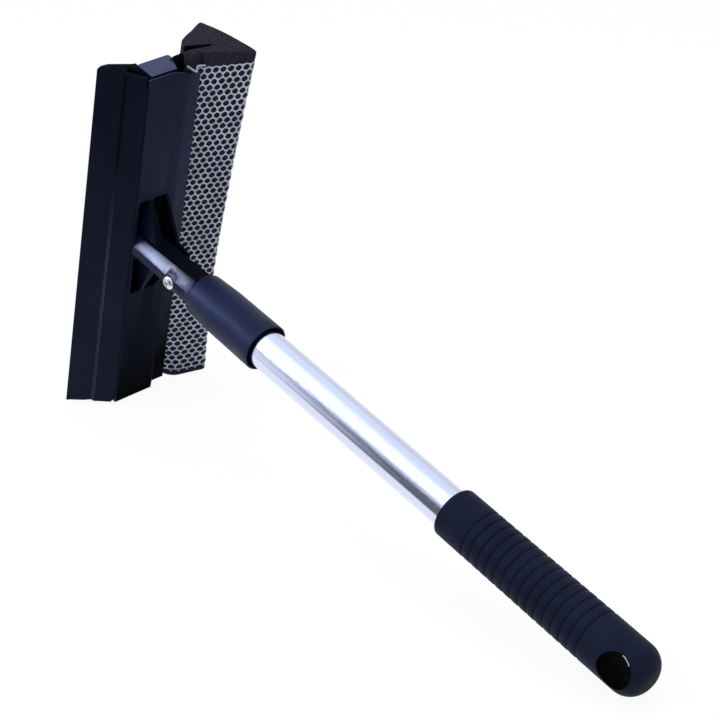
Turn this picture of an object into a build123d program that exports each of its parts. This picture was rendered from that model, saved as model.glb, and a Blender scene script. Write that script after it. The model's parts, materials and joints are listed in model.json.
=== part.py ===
from build123d import *
import os
from math import acos, atan2, ceil, cos, degrees, hypot, radians, sin, sqrt, tan

# Window squeegee with a wedge rubber, a netted sponge and a twist-lock telescopic handle.
# Tool frame in millimetres: X runs across the head from rubber to sponge, Z runs along the
# rubber, and the handle leaves the front of the head along -Y. A station is a distance from
# the front of the head along the handle. At the end the tool is stood on the head's lower
# edge and the tip of its grip.

# Clearances
seat_gap = 0.15
soft_gap = 0.4
turn_gap = 0.3
slide_gap = 0.1
press_gap = 0.02

# Head halves
head_length = 203.0
plate_left = 9.2
plate_right = 14.0
plate_thickness = 2.6
plate_edge_round = 0.8
frame_left = 6.6
frame_right = 13.0
frame_side_slant = 4.3
frame_depth = 11.8
frame_wall = 1.4
frame_end_wall = 3.0
frame_edge_round = 1.5

# Near and far jaw of the sponge clamp
jaw_drop = 4.0
jaw_reach = 25.5
jaw_thickness = 2.0
jaw_top_setback = 7.0
far_jaw_reach = 20.5
far_jaw_rise = 3.0
far_jaw_thickness = 2.0
far_jaw_setback = 6.0

# Screws that join the head halves, seen from the window side
joint_screw_x = 2.4
joint_screw_inner_z = 42.0
joint_screw_outer_z = 84.0
joint_post_radius = 3.0
joint_screw_radius = 1.25
joint_screw_head_radius = 2.4
joint_screw_head_height = 0.9
joint_screw_bite = 7.0

# Wedge rubber
blade_width = 23.7
blade_slope = 45.0
blade_notch = 1.6
blade_root_lift = 1.6
blade_tip_thickness = 1.0
blade_wedge_angle = 34.0
blade_tip_overhang = 3.1
blade_lip = 9.0
blade_step = 0.5
tongue_start = 13.9
tongue_depth = 3.4
tongue_thickness = 3.8
tongue_setback = 7.0

# Sponge, as a section across the head
sponge_near_x = 49.6
sponge_near_y = -3.4
sponge_far_x = 43.2
sponge_far_y = 28.9
sponge_lobe_x = 24.2
sponge_lobe_y = 19.6
sponge_slit_x = 33.4
sponge_slit_y = 9.4
sponge_slit_width = 1.0
sponge_near_round = 1.5
sponge_far_round = 3.0
sponge_lobe_round = 3.5
sponge_top_overhang = 1.8
sponge_floor_gap = 0.1

# Net over the sponge
net_thickness = 0.6
net_lift = 0.3
net_top_setback = 8.7
net_bottom_setback = 3.0
net_hole = 4.9
net_pitch = 6.3
net_border = 1.0

# Neck, its windows and ribs
neck_root_half_width = 8.8
neck_root_half_height = 6.8
neck_end_half_width = 8.9
neck_end_half_height = 8.9
neck_side_flat = 2.4
neck_top_flat = 4.6
neck_length = 44.0
socket_floor = 12.0
window_left = 7.4
window_right = 8.4
window_reach = 28.6
rib_height = 10.5
rib_depth = 7.0
rib_tip_half_width = 1.0
rib_root_half_width = 3.0
side_rib_thickness = 1.8
side_rib_height = 12.5
side_rib_length = 22.0
side_rib_end = 4.4

# Neck screw
neck_screw_inset = 14.5
neck_screw_radius = 2.0
neck_screw_head_radius = 3.75
neck_screw_head_height = 2.0
neck_screw_head_bevel = 1.1
neck_screw_recess = 1.1
neck_screw_slot = 1.0
neck_screw_slot_reach = 2.4
neck_boss_radius = 4.4
neck_boss_half_width = 9.0
nut_across_flats = 7.0
nut_height = 2.6

# Telescopic tubes
inner_radius = 5.5
inner_wall = 0.9
outer_radius = 10.0
outer_wall = 1.0
outer_length = 258.0
outer_inset = 21.5
inner_rear_inset = 40.0
core_length = 26.0

# Stop plug and glide ring at the rear of the inner tube
plug_spigot_length = 16.0
plug_flange_radius = 8.3
plug_flange_thickness = 3.0
plug_journal_radius = 4.2
plug_pin_radius = 1.0
plug_pin_inset = 8.0
ring_width = 10.0
ring_end_gap = 0.3

# Bush, split ring and twist collar
bush_nose = 13.0
bush_spigot_length = 26.0
bush_pin_radius = 1.2
bush_pin_inset = 14.0
bush_pin_depth = 2.4
split_ring_length = 5.1
split_ring_front_radius = 7.0
split_ring_rear_radius = 8.6
split_ring_slit = 1.2
collar_gap = 0.5
collar_length = 49.5
collar_front_radius = 11.2
collar_middle_radius = 12.2
collar_rear_radius = 12.45
collar_swell = 17.5
collar_front_bevel = 1.6
collar_lip_bevel = 0.5
collar_front_wall = 3.0
collar_mouth_gap = 1.6

# Grip
grip_length = 125.0
grip_cover = 96.0
grip_front_radius = 12.6
grip_rear_radius = 13.1
grip_tip_round = 11.0
grip_shoulder = 1.4
groove_inset = 18.8
groove_pitch = 5.22
groove_count = 15
groove_width = 2.6
groove_depth = 0.4
hang_hole_inset = 12.7
hang_hole_radius = 7.8
hang_hole_roll = 14.0
end_plug_length = 16.0
end_plug_flange = 2.0
end_plug_wall = 1.6
end_plug_recess = 12.0

# Values that follow from the sizes above
half_length = head_length / 2
frame_back = plate_thickness + frame_depth
jaw_inner = jaw_drop + jaw_thickness
sponge_top = half_length + sponge_top_overhang
neck_screw_station = neck_length - neck_screw_inset
collar_front = neck_length + collar_gap
collar_middle = collar_front + collar_swell
collar_rear = collar_front + collar_length
outer_bore = outer_radius - outer_wall
outer_front = collar_front + outer_inset
outer_rear = outer_front + outer_length
inner_bore = inner_radius - inner_wall
inner_front = socket_floor + seat_gap
inner_rear = outer_rear - inner_rear_inset
bush_front = outer_front - bush_nose
bush_rear = outer_front + bush_spigot_length
bush_bore = inner_radius + turn_gap
grip_front = outer_rear - grip_cover
grip_tip = grip_front + grip_length
groove_first = grip_front + groove_inset
grip_taper_end = groove_first + (groove_count - 1) * groove_pitch + groove_width / 2
grip_tip_start = grip_tip - grip_tip_round
hang_hole_station = grip_tip - hang_hole_inset

LOW = (Align.CENTER, Align.CENTER, Align.MIN)


def flat_section(points, radii=None):
    """Face in the XY plane through points, sharp or with one rounding for each corner."""
    if radii is None:
        return make_face(Polyline(*points, close=True))
    return make_face(FilletPolyline(*points, radius=radii, close=True))


def along_head(points, low, high, radii=None):
    """Section across the head, drawn out along the rubber from low to high."""
    return Pos(0, 0, low) * extrude(flat_section(points, radii), amount=high - low)


def turned(points, radii=None):
    """Solid turned about the handle axis from (radius, station) points."""
    outline = [(radius, -station) for radius, station in points]
    return revolve(flat_section(outline, radii), axis=Axis.Y)


def rod(radius, front, rear):
    """Plain rod on the handle axis between two stations."""
    return turned([(0, front), (radius, front), (radius, rear), (0, rear)])


def pipe(radius, bore, front, rear):
    """Plain tube on the handle axis between two stations."""
    return turned([(bore, front), (radius, front), (radius, rear), (bore, rear)])


def across(radius, low, high, station):
    """Rod along X through the handle axis at a station."""
    length = high - low
    return Pos(low, -station, 0) * Rot(0, 90, 0) * Cylinder(radius, length, align=LOW)


def through_plate(radius, low, high, x, z):
    """Rod along Y through the head at x and z."""
    length = high - low
    return Pos(x, low, z) * Rot(-90, 0, 0) * Cylinder(radius, length, align=LOW)


def block(low, high):
    """Box between two corners."""
    size = [b - a for a, b in zip(low, high)]
    return Pos(*low) * Box(*size, align=(Align.MIN, Align.MIN, Align.MIN))


def stand_tilt():
    """Tilt at which the plate's lower edge and the round edge of the grip's tip touch one floor."""
    rise = half_length - grip_rear_radius + grip_tip_round
    return acos(grip_tip_round / hypot(rise, grip_tip_start)) - atan2(grip_tip_start, rise)


def sponge_bottom():
    """Lower end of the sponge, just clear of the floor."""
    return -half_length - min(sponge_near_y, 0) * tan(stand_tilt()) + sponge_floor_gap


def joint_screw_places():
    """Places of the screws that join the head halves."""
    heights = (joint_screw_inner_z, joint_screw_outer_z)
    return [(joint_screw_x, side * height) for height in heights for side in (-1, 1)]


def neck_section(half_width, half_height, station):
    """Eight-sided section of the neck, square to the handle axis."""
    w, h, a, b = half_width, half_height, neck_side_flat, neck_top_flat
    corners = [(w, a), (b, h), (-b, h), (-w, a), (-w, -a), (-b, -h), (b, -h), (w, -a)]
    plane = Plane(origin=(0, -station, 0), x_dir=(1, 0, 0), z_dir=(0, -1, 0))
    return plane * make_face(Polyline(*corners, close=True))


def side_profile(points, low, high):
    """Profile of (y, z) points, drawn out along X from low to high."""
    plane = Plane(origin=(low, 0, 0), x_dir=(0, 1, 0), z_dir=(1, 0, 0))
    return extrude(plane * make_face(Polyline(*points, close=True)), amount=high - low)


def middle_rib(side):
    """Tapered rib between the neck and the end of a window; side is 1 above and -1 below."""
    root = neck_root_half_height - neck_side_flat
    profile = [(-rib_height, side * root), (0, side * window_reach),
               (plate_thickness, side * window_reach), (rib_depth, side * root)]
    web = side_profile(profile, -rib_root_half_width, rib_root_half_width)
    plan = [(-rib_root_half_width, side * root), (rib_root_half_width, side * root),
            (rib_tip_half_width, side * window_reach), (-rib_tip_half_width, side * window_reach)]
    plane = Plane(origin=(0, rib_depth, 0), x_dir=(1, 0, 0), z_dir=(0, -1, 0))
    taper = extrude(plane * make_face(Polyline(*plan, close=True)), amount=rib_depth + rib_height)
    return web & taper


def side_rib():
    """Rib on the sponge side of the neck, sloping from the plate above to the plate below."""
    root = neck_root_half_height
    upper = [(plate_thickness, window_reach), (0, window_reach), (-side_rib_height, root),
             (-side_rib_length, side_rib_end)]
    lower = [(y, -z) for y, z in reversed(upper)]
    web = side_profile(upper + lower, window_right, window_right + side_rib_thickness)
    bridge = block((0, -side_rib_length, -neck_side_flat), (window_right, 0, neck_side_flat))
    return web + bridge


def near_jaw():
    """Lip of the front plate that steps down to the sponge; it stops short of the plate's top."""
    bevel = plate_right - jaw_thickness * sqrt(2)
    section = [(plate_right, 0), (plate_right + jaw_drop, jaw_drop), (jaw_reach, jaw_drop),
               (jaw_reach, jaw_inner), (bevel + jaw_inner, jaw_inner),
               (bevel + plate_thickness, plate_thickness)]
    return along_head(section, -half_length, half_length - jaw_top_setback)


def front_plate():
    """Front half of the head with the near jaw, the windows, the ribs and the neck."""
    plate = block((-plate_left, 0, -half_length), (plate_right, plate_thickness, half_length))
    front_face = plate.faces().sort_by(Axis.Y)[0]
    plate = fillet(front_face.edges().filter_by(Axis.X), plate_edge_round) + near_jaw()
    for side in (-1, 1):
        ends = sorted((side * neck_root_half_height, side * window_reach))
        plate -= block((-window_left, 0, ends[0]), (window_right, plate_thickness, ends[1]))
    neck = loft([neck_section(neck_root_half_width, neck_root_half_height, 0),
                 neck_section(neck_end_half_width, neck_end_half_height, neck_length)])
    boss = across(neck_boss_radius, -neck_boss_half_width, neck_boss_half_width, neck_screw_station)
    body = plate + neck + boss + middle_rib(1) + middle_rib(-1) + side_rib()
    for x, z in joint_screw_places():
        body += through_plate(joint_post_radius, plate_thickness, frame_back - frame_wall, x, z)
        pilot_start = frame_back - joint_screw_bite
        body -= through_plate(joint_screw_radius + press_gap, pilot_start, frame_back, x, z)
    body -= rod(inner_radius + seat_gap / 2, socket_floor, neck_length)
    reach = neck_boss_half_width
    body -= across(neck_screw_radius + seat_gap, -reach, reach, neck_screw_station)
    return body - nut_blank(nut_across_flats + 2 * seat_gap, neck_end_half_width)


def far_jaw():
    """Lip of the back frame that presses the sponge against the near jaw."""
    lip = [(frame_right - frame_wall, frame_back - far_jaw_thickness - frame_edge_round),
           (far_jaw_reach, frame_back + far_jaw_rise - far_jaw_thickness),
           (far_jaw_reach, frame_back + far_jaw_rise),
           (frame_right - frame_wall, frame_back - frame_edge_round)]
    reach = half_length - far_jaw_setback
    return along_head(lip, -reach, reach)


def blade_point(along, depth):
    """Point of the rubber's section: along its near face from the tip, and depth below it."""
    slope = radians(blade_slope)
    tip_x = -plate_left - blade_notch - blade_width * cos(slope)
    tip_y = blade_root_lift + blade_width * sin(slope)
    x = tip_x + along * cos(slope) + depth * sin(slope)
    y = tip_y - along * sin(slope) + depth * cos(slope)
    return x, y


def along_at_wall(depth, rise=0.0):
    """Distance along the near face at which a line of the section meets the frame's side."""
    slope = radians(blade_slope)
    start = blade_point(0, depth)[0]
    return (-frame_left - seat_gap - start) / (cos(slope) + rise * sin(slope))


def blade_tongue():
    """Slanted rib of the back frame that the rubber is pushed over."""
    end = along_at_wall(tongue_depth) + frame_wall
    low = tongue_depth
    high = tongue_depth + tongue_thickness
    section = [blade_point(tongue_start, low), blade_point(end, low),
               blade_point(end, high), blade_point(tongue_start, high)]
    reach = half_length - tongue_setback
    tongue = along_head(section, -reach, reach)
    left = blade_point(0, 0)[0]
    inside = block((left, plate_thickness, -reach), (-frame_left + frame_wall, frame_back, reach))
    return tongue & inside


def back_frame():
    """Back half of the head: a shallow box with the rubber's rib and the far jaw."""
    front_right = frame_right - frame_side_slant
    section = [(-frame_left, plate_thickness), (front_right, plate_thickness),
               (frame_right, frame_back), (-frame_left, frame_back)]
    shell = along_head(section, -half_length, half_length)
    back_face = shell.faces().sort_by(Axis.Y)[-1]
    shell = fillet(back_face.edges().filter_by(Axis.Z), frame_edge_round)
    inner_end = half_length - frame_end_wall
    shell -= block((-frame_left + frame_wall, plate_thickness, -inner_end),
                   (front_right - frame_wall, frame_back - frame_wall, inner_end))
    shell += blade_tongue() + far_jaw()
    for x, z in joint_screw_places():
        inner_face = frame_back - frame_wall
        shell -= through_plate(joint_screw_radius + seat_gap, inner_face, frame_back, x, z)
        seat = frame_back - joint_screw_head_height
        shell -= through_plate(joint_screw_head_radius + seat_gap, seat, frame_back, x, z)
    return shell


def head_screws():
    """Four screws that join the head halves, driven from the window side."""
    screws = []
    for x, z in joint_screw_places():
        shank = through_plate(joint_screw_radius, frame_back - joint_screw_bite, frame_back, x, z)
        seat = frame_back - joint_screw_head_height
        head = through_plate(joint_screw_head_radius, seat, frame_back, x, z)
        screws.append(shank + head)
    return screws


def blade_rubber():
    """Wedge rubber with a slot in its root; its ends slant out towards the working edge."""
    rise = tan(radians(blade_wedge_angle))
    slot_low = tongue_depth - seat_gap
    slot_high = tongue_depth + tongue_thickness + seat_gap
    slot_start = tongue_start - seat_gap
    far_end = along_at_wall(blade_tip_thickness, rise)
    step = blade_width - blade_lip
    section = [blade_point(0, 0), blade_point(step - blade_step, blade_step), blade_point(step, 0),
               blade_point(blade_width, 0), blade_point(blade_width, slot_low),
               blade_point(slot_start, slot_low), blade_point(slot_start, slot_high),
               blade_point(along_at_wall(slot_high), slot_high),
               blade_point(far_end, blade_tip_thickness + far_end * rise),
               blade_point(0, blade_tip_thickness)]
    tip_half = half_length + blade_tip_overhang
    wedge = along_head(section, -tip_half, tip_half)
    ends = [(0, -tip_half), (blade_width, -half_length), (blade_width, half_length), (0, tip_half)]
    tip = blade_point(0, 0)
    slope = radians(blade_slope)
    plane = Plane(origin=(*tip, 0), x_dir=(cos(slope), -sin(slope), 0), z_dir=(sin(slope), cos(slope), 0))
    trim = extrude(plane * make_face(Polyline(*ends, close=True)), amount=blade_width)
    return wedge & trim


def sponge_start():
    """Corner where the sponge's near face comes out from under the near jaw."""
    return jaw_reach + soft_gap, jaw_drop + jaw_thickness / 2


def sponge():
    """Foam bar with a slit; its edge is pinched between the jaws."""
    pinch_x = frame_right + soft_gap
    pinch_y = jaw_inner + soft_gap
    rise = far_jaw_rise / (far_jaw_reach - frame_right + frame_wall)
    far_edge = frame_back - far_jaw_thickness - frame_edge_round - soft_gap
    mouth_x = sponge_lobe_x - sponge_lobe_round / 2
    mouth_y = far_edge + rise * (mouth_x - frame_right)
    outline = [(pinch_x, pinch_y), (sponge_start()[0], pinch_y), sponge_start(),
               (sponge_near_x, sponge_near_y), (sponge_far_x, sponge_far_y),
               (sponge_lobe_x, sponge_lobe_y), (mouth_x, mouth_y + sponge_slit_width),
               (sponge_slit_x, sponge_slit_y), (mouth_x, mouth_y), (pinch_x, far_edge)]
    radii = [0, 0, 0, sponge_near_round, sponge_far_round, sponge_lobe_round, 0, 0, 0, 0]
    return along_head(outline, sponge_bottom(), sponge_top, radii)


def net_panel(start, end):
    """Flat net with six-sided gaps beside the sponge's face that runs from start to end."""
    width = hypot(end[0] - start[0], end[1] - start[1])
    x_dir = ((end[0] - start[0]) / width, (end[1] - start[1]) / width, 0)
    low = sponge_bottom() + net_bottom_setback
    high = sponge_top - net_top_setback
    plane = Plane(origin=(*start, low), x_dir=x_dir, z_dir=(x_dir[1], -x_dir[0], 0))
    row_step = net_pitch * sqrt(3) / 2
    sheet = make_face(Polyline((0, 0), (width, 0), (width, high - low), (0, high - low), close=True))
    margin = net_hole / 2 + net_border
    gaps = []
    for row in range(ceil((high - low) / row_step)):
        y = margin + row * row_step
        x = margin + (row % 2) * net_pitch / 2
        while x < width - margin and y < high - low - margin:
            gaps.append(Pos(x, y) * RegularPolygon(net_hole / 2, 6, major_radius=False, rotation=30))
            x += net_pitch
    holed = Face(sheet.face().outer_wire(), [gap.face().outer_wire() for gap in gaps])
    panel = extrude(plane * holed, amount=net_thickness)
    return Pos(x_dir[1] * net_lift, -x_dir[0] * net_lift, 0) * panel


def net_corner(before, corner, after, corner_round):
    """Bent strip of net round a rounded corner of the sponge, between two flat panels."""
    arms = []
    for near in (before, after):
        length = hypot(near[0] - corner[0], near[1] - corner[1])
        arms.append(((near[0] - corner[0]) / length, (near[1] - corner[1]) / length))
    half_turn = acos(sum(a * b for a, b in zip(*arms))) / 2
    middle = [a + b for a, b in zip(*arms)]
    length = corner_round / sin(half_turn) / hypot(*middle)
    centre = (corner[0] + middle[0] * length, corner[1] + middle[1] * length)
    inner = corner_round + net_lift
    low = sponge_bottom() + net_bottom_setback
    high = sponge_top - net_top_setback
    ring = Circle(inner + net_thickness) - Circle(inner)
    foot = corner_round / tan(half_turn)
    reach = 2 * (inner + net_thickness)
    rays = []
    for arm in arms:
        touch = (arm[0] * foot + corner[0] - centre[0], arm[1] * foot + corner[1] - centre[1])
        scale = reach / corner_round
        rays.append((touch[0] * scale, touch[1] * scale))
    bulge = [-m / hypot(*middle) * 2 * reach for m in middle]
    sector = make_face(Polyline((0, 0), rays[0], tuple(bulge), rays[1], close=True))
    strip = extrude(ring & sector, amount=high - low)
    return Pos(*centre, low) * strip


def trimmed(start, end, cut_start, cut_end):
    """Ends of a sponge face with the given lengths taken off."""
    length = hypot(end[0] - start[0], end[1] - start[1])
    step = ((end[0] - start[0]) / length, (end[1] - start[1]) / length)
    first = (start[0] + step[0] * cut_start, start[1] + step[1] * cut_start)
    last = (end[0] - step[0] * cut_end, end[1] - step[1] * cut_end)
    return first, last


def corner_foot(before, corner, after, corner_round):
    """Length that the rounding of a sponge corner takes off each face."""
    a = atan2(before[1] - corner[1], before[0] - corner[0])
    b = atan2(after[1] - corner[1], after[0] - corner[0])
    turn = abs(a - b)
    return corner_round / tan(min(turn, 2 * radians(180) - turn) / 2)


def sponge_net():
    """Net on the two outer faces of the sponge and round the corner between them."""
    start = sponge_start()
    near = (sponge_near_x, sponge_near_y)
    far = (sponge_far_x, sponge_far_y)
    lobe = (sponge_lobe_x, sponge_lobe_y)
    near_foot = corner_foot(start, near, far, sponge_near_round)
    far_foot = corner_foot(near, far, lobe, sponge_far_round)
    near_panel = net_panel(*trimmed(start, near, soft_gap, near_foot))
    side_panel = net_panel(*trimmed(near, far, near_foot, far_foot))
    near_strip = net_corner(start, near, far, sponge_near_round)
    far_strip = net_corner(near, far, lobe, sponge_far_round)
    return [near_panel, near_strip, side_panel, far_strip]


def neck_screw():
    """Pan-head screw with a cross recess, through the neck and the inner tube."""
    head_seat = -neck_boss_half_width
    shank = across(neck_screw_radius, head_seat, neck_boss_half_width, neck_screw_station)
    head = across(neck_screw_head_radius, head_seat - neck_screw_head_height, head_seat, neck_screw_station)
    rim = head.faces().sort_by(Axis.X)[0].edges()
    head = chamfer(rim, neck_screw_head_bevel)
    top = head_seat - neck_screw_head_height
    half = neck_screw_slot / 2
    arm = neck_screw_slot_reach
    y = -neck_screw_station
    upright = block((top, y - half, -arm), (top + neck_screw_recess, y + half, arm))
    level = block((top, y - arm, -half), (top + neck_screw_recess, y + arm, half))
    return shank + head - upright - level


def nut_blank(across_flats, outer_face):
    """Six-sided blank in the neck's sponge side, from its seat to the given face."""
    seat = neck_boss_half_width - nut_height
    plane = Plane(origin=(seat, -neck_screw_station, 0), x_dir=(0, 1, 0), z_dir=(1, 0, 0))
    hexagon = plane * RegularPolygon(across_flats / 2, 6, major_radius=False)
    return extrude(hexagon, amount=max(outer_face, neck_boss_half_width) - seat)


def neck_nut():
    """Nut that lies in a six-sided pocket of the neck."""
    nut = nut_blank(nut_across_flats, neck_boss_half_width)
    return nut - across(neck_screw_radius + press_gap, 0, neck_boss_half_width, neck_screw_station)


def inner_tube():
    """Thin tube between the neck and the stop plug."""
    tube = pipe(inner_radius, inner_bore, inner_front, inner_rear)
    tube -= across(neck_screw_radius + seat_gap, -inner_radius, inner_radius, neck_screw_station)
    return tube - across(plug_pin_radius + press_gap, -inner_radius, inner_radius, inner_rear - plug_pin_inset)


def tube_core():
    """Core that keeps the neck screw from crushing the inner tube."""
    core = rod(inner_bore - press_gap, inner_front, inner_front + core_length)
    return core - across(neck_screw_radius + press_gap, -inner_bore, inner_bore, neck_screw_station)


def inner_stop_plug():
    """Plug in the rear of the inner tube: spigot, journal of the glide ring and stop flange."""
    spigot = inner_bore - press_gap
    front = inner_rear - plug_spigot_length
    flange = inner_rear + ring_width + 2 * ring_end_gap
    rear = flange + plug_flange_thickness
    plug = turned([(0, front), (spigot, front), (spigot, inner_rear), (plug_journal_radius, inner_rear),
                   (plug_journal_radius, flange), (plug_flange_radius, flange),
                   (plug_flange_radius, rear), (0, rear)])
    return plug - across(plug_pin_radius + press_gap, -inner_radius, inner_radius, inner_rear - plug_pin_inset)


def stop_plug_pin():
    """Pin through the inner tube and its stop plug."""
    return across(plug_pin_radius, -inner_bore, inner_bore, inner_rear - plug_pin_inset)


def glide_ring():
    """Ring that centres the inner tube in the handle tube and turns on the stop plug."""
    front = inner_rear + ring_end_gap
    return pipe(outer_bore - slide_gap, plug_journal_radius + slide_gap, front, front + ring_width)


def bush_pin_places():
    """Turn angles of the pins that hold the bush."""
    return (0, 180)


def bush_pin(radius, angle):
    """Pin from the outside of the handle tube into the bush."""
    inner = outer_bore - bush_pin_depth
    length = outer_radius - inner
    pin = Pos(0, -outer_front - bush_pin_inset, inner) * Cylinder(radius, length, align=LOW)
    return pin.rotate(Axis.Y, angle)


def outer_tube():
    """Handle tube."""
    tube = pipe(outer_radius, outer_bore, outer_front, outer_rear)
    for angle in bush_pin_places():
        tube -= bush_pin(bush_pin_radius + press_gap, angle)
    return tube


def collet_bush():
    """Bush in the front of the handle tube: a nose for the collar and a spigot."""
    spigot = outer_bore - press_gap
    bush = turned([(bush_bore, bush_front), (outer_radius, bush_front), (outer_radius, outer_front),
                   (spigot, outer_front), (spigot, bush_rear), (bush_bore, bush_rear)])
    for angle in bush_pin_places():
        bush -= bush_pin(bush_pin_radius + press_gap, angle)
    return bush


def bush_pins():
    """Two pins that hold the bush in the handle tube."""
    inset = outer_radius - sqrt(outer_radius ** 2 - bush_pin_radius ** 2)
    keep = rod(outer_radius - inset, outer_front, bush_rear)
    return [bush_pin(bush_pin_radius, angle) & keep for angle in bush_pin_places()]


def collet_ring():
    """Split ring with a cone outside, between the bush and the collar's front wall."""
    bore = inner_radius + slide_gap
    front = bush_front - split_ring_length
    ring = turned([(bore, front), (split_ring_front_radius, front),
                   (split_ring_rear_radius, bush_front), (bore, bush_front)])
    half = split_ring_slit / 2
    return ring - block((-half, -bush_front, 0), (half, -front, split_ring_rear_radius))


def twist_collar():
    """Locking collar: smooth tapered outside, cone and bores inside."""
    wall_rear = collar_front + collar_front_wall
    cone_front = split_ring_front_radius + turn_gap
    cone_rear = split_ring_rear_radius + turn_gap
    nose_bore = outer_radius + turn_gap
    mouth_bore = outer_radius + collar_mouth_gap
    step = outer_front + turn_gap
    outline = [(inner_radius + turn_gap, collar_front), (collar_front_radius - collar_front_bevel, collar_front),
               (collar_front_radius, collar_front + collar_front_bevel), (collar_middle_radius, collar_middle),
               (collar_rear_radius, collar_rear - collar_lip_bevel),
               (collar_rear_radius - collar_lip_bevel, collar_rear), (mouth_bore, collar_rear),
               (mouth_bore, step), (nose_bore, step),
               (nose_bore, bush_front - turn_gap), (cone_rear, bush_front - turn_gap),
               (cone_front, wall_rear), (inner_radius + turn_gap, wall_rear)]
    return turned(outline)


def grip_radius(station):
    """Outer radius of the grip, which swells a little towards its end."""
    share = (station - grip_front) / (grip_taper_end - grip_front)
    return grip_front_radius + share * (grip_rear_radius - grip_front_radius)


def hang_hole():
    """Cutter for the hanging hole, well past both sides of the grip."""
    reach = 2 * grip_rear_radius
    hole = across(hang_hole_radius, -reach, reach, hang_hole_station)
    return hole.rotate(Axis.Y, hang_hole_roll)


def grip():
    """Grooved sleeve with a blunt bullet end and a hanging hole."""
    bore = outer_radius + press_gap
    blind = outer_rear + end_plug_flange + seat_gap
    outline = [(0, blind), (bore, blind), (bore, grip_front), (grip_front_radius - grip_shoulder, grip_front),
               (grip_front_radius, grip_front + grip_shoulder)]
    for number in range(groove_count):
        middle = groove_first + number * groove_pitch
        for offset, depth in ((-groove_width / 2, 0), (0, groove_depth), (groove_width / 2, 0)):
            outline.append((grip_radius(middle + offset) - depth, middle + offset))
    outline += [(grip_rear_radius, grip_tip), (0, grip_tip)]
    radii = [0] * (len(outline) - 2) + [grip_tip_round, 0]
    return turned(outline, radii) - hang_hole()


def tube_end_plug():
    """Cup-shaped plug in the rear of the handle tube."""
    spigot = outer_bore - press_gap
    front = outer_rear - end_plug_length
    rear = outer_rear + end_plug_flange
    bore = spigot - end_plug_wall
    floor = front + end_plug_recess
    return turned([(bore, front), (spigot, front), (spigot, outer_rear), (outer_radius, outer_rear),
                   (outer_radius, rear), (0, rear), (0, floor), (bore, floor)])


NODES = {
    "front_plate": front_plate, "back_frame": back_frame, "head_screws": head_screws,
    "blade_rubber": blade_rubber, "sponge": sponge, "sponge_net": sponge_net,
    "neck_screw": neck_screw, "neck_nut": neck_nut, "inner_tube": inner_tube,
    "tube_core": tube_core, "inner_stop_plug": inner_stop_plug, "stop_plug_pin": stop_plug_pin,
    "glide_ring": glide_ring, "outer_tube": outer_tube, "collet_bush": collet_bush,
    "bush_pins": bush_pins, "collet_ring": collet_ring, "twist_collar": twist_collar,
    "grip": grip, "tube_end_plug": tube_end_plug,
}


def solids_of(made):
    """Solids of one piece or of a group of pieces."""
    pieces = made if isinstance(made, list) else [made]
    return [solid for piece in pieces for solid in piece.solids()]


def assembly():
    """Every node's solids, stood on the floor with the origin under the middle of the box."""
    stand = Rot(degrees(stand_tilt()), 0, 0)
    stood = {name: [stand * solid for solid in solids_of(make())] for name, make in NODES.items()}
    box = Compound([solid for group in stood.values() for solid in group]).bounding_box()
    shift = Pos(-box.center().X, -box.center().Y, -box.min.Z)
    return {name: [shift * solid for solid in group] for name, group in stood.items()}, shift * stand


def main():
    """Write one file for each node."""
    os.makedirs("parts", exist_ok=True)
    for name, group in assembly()[0].items():
        export_step(Compound(group) if len(group) > 1 else group[0], f"parts/{name}.step")


if __name__ == "__main__":
    main()
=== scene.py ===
import json
from math import acos, atan2, cos, degrees, pi, radians, sin, sqrt, tan

import bmesh
import bpy
from mathutils import Matrix, Vector, noise


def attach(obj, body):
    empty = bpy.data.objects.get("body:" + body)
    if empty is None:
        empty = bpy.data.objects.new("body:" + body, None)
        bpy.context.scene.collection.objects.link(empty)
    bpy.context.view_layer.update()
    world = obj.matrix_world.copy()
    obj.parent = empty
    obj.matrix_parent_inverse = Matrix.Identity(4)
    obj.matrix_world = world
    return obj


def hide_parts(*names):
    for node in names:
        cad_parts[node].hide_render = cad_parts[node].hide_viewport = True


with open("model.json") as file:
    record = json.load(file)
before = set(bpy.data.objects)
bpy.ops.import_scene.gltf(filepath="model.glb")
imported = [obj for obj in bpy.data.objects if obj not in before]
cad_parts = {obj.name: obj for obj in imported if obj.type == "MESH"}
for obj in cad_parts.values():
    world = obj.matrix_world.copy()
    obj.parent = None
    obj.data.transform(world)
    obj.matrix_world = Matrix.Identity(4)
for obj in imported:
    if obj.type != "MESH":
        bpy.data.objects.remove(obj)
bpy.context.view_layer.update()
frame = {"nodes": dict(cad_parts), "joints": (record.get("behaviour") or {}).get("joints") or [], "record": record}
nodes = frame["nodes"]

# Sizes in millimetres in the tool frame of the part's source: X runs across the head from rubber to
# sponge, Z along the rubber, and the handle leaves the front of the head along -Y. A station is a
# distance from the front of the head along the handle.
MM = 0.001
TINY = 1e-4
SLACK = 0.1
SEGMENTS = 160
SMOOTH_ANGLE = 32.0

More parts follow.
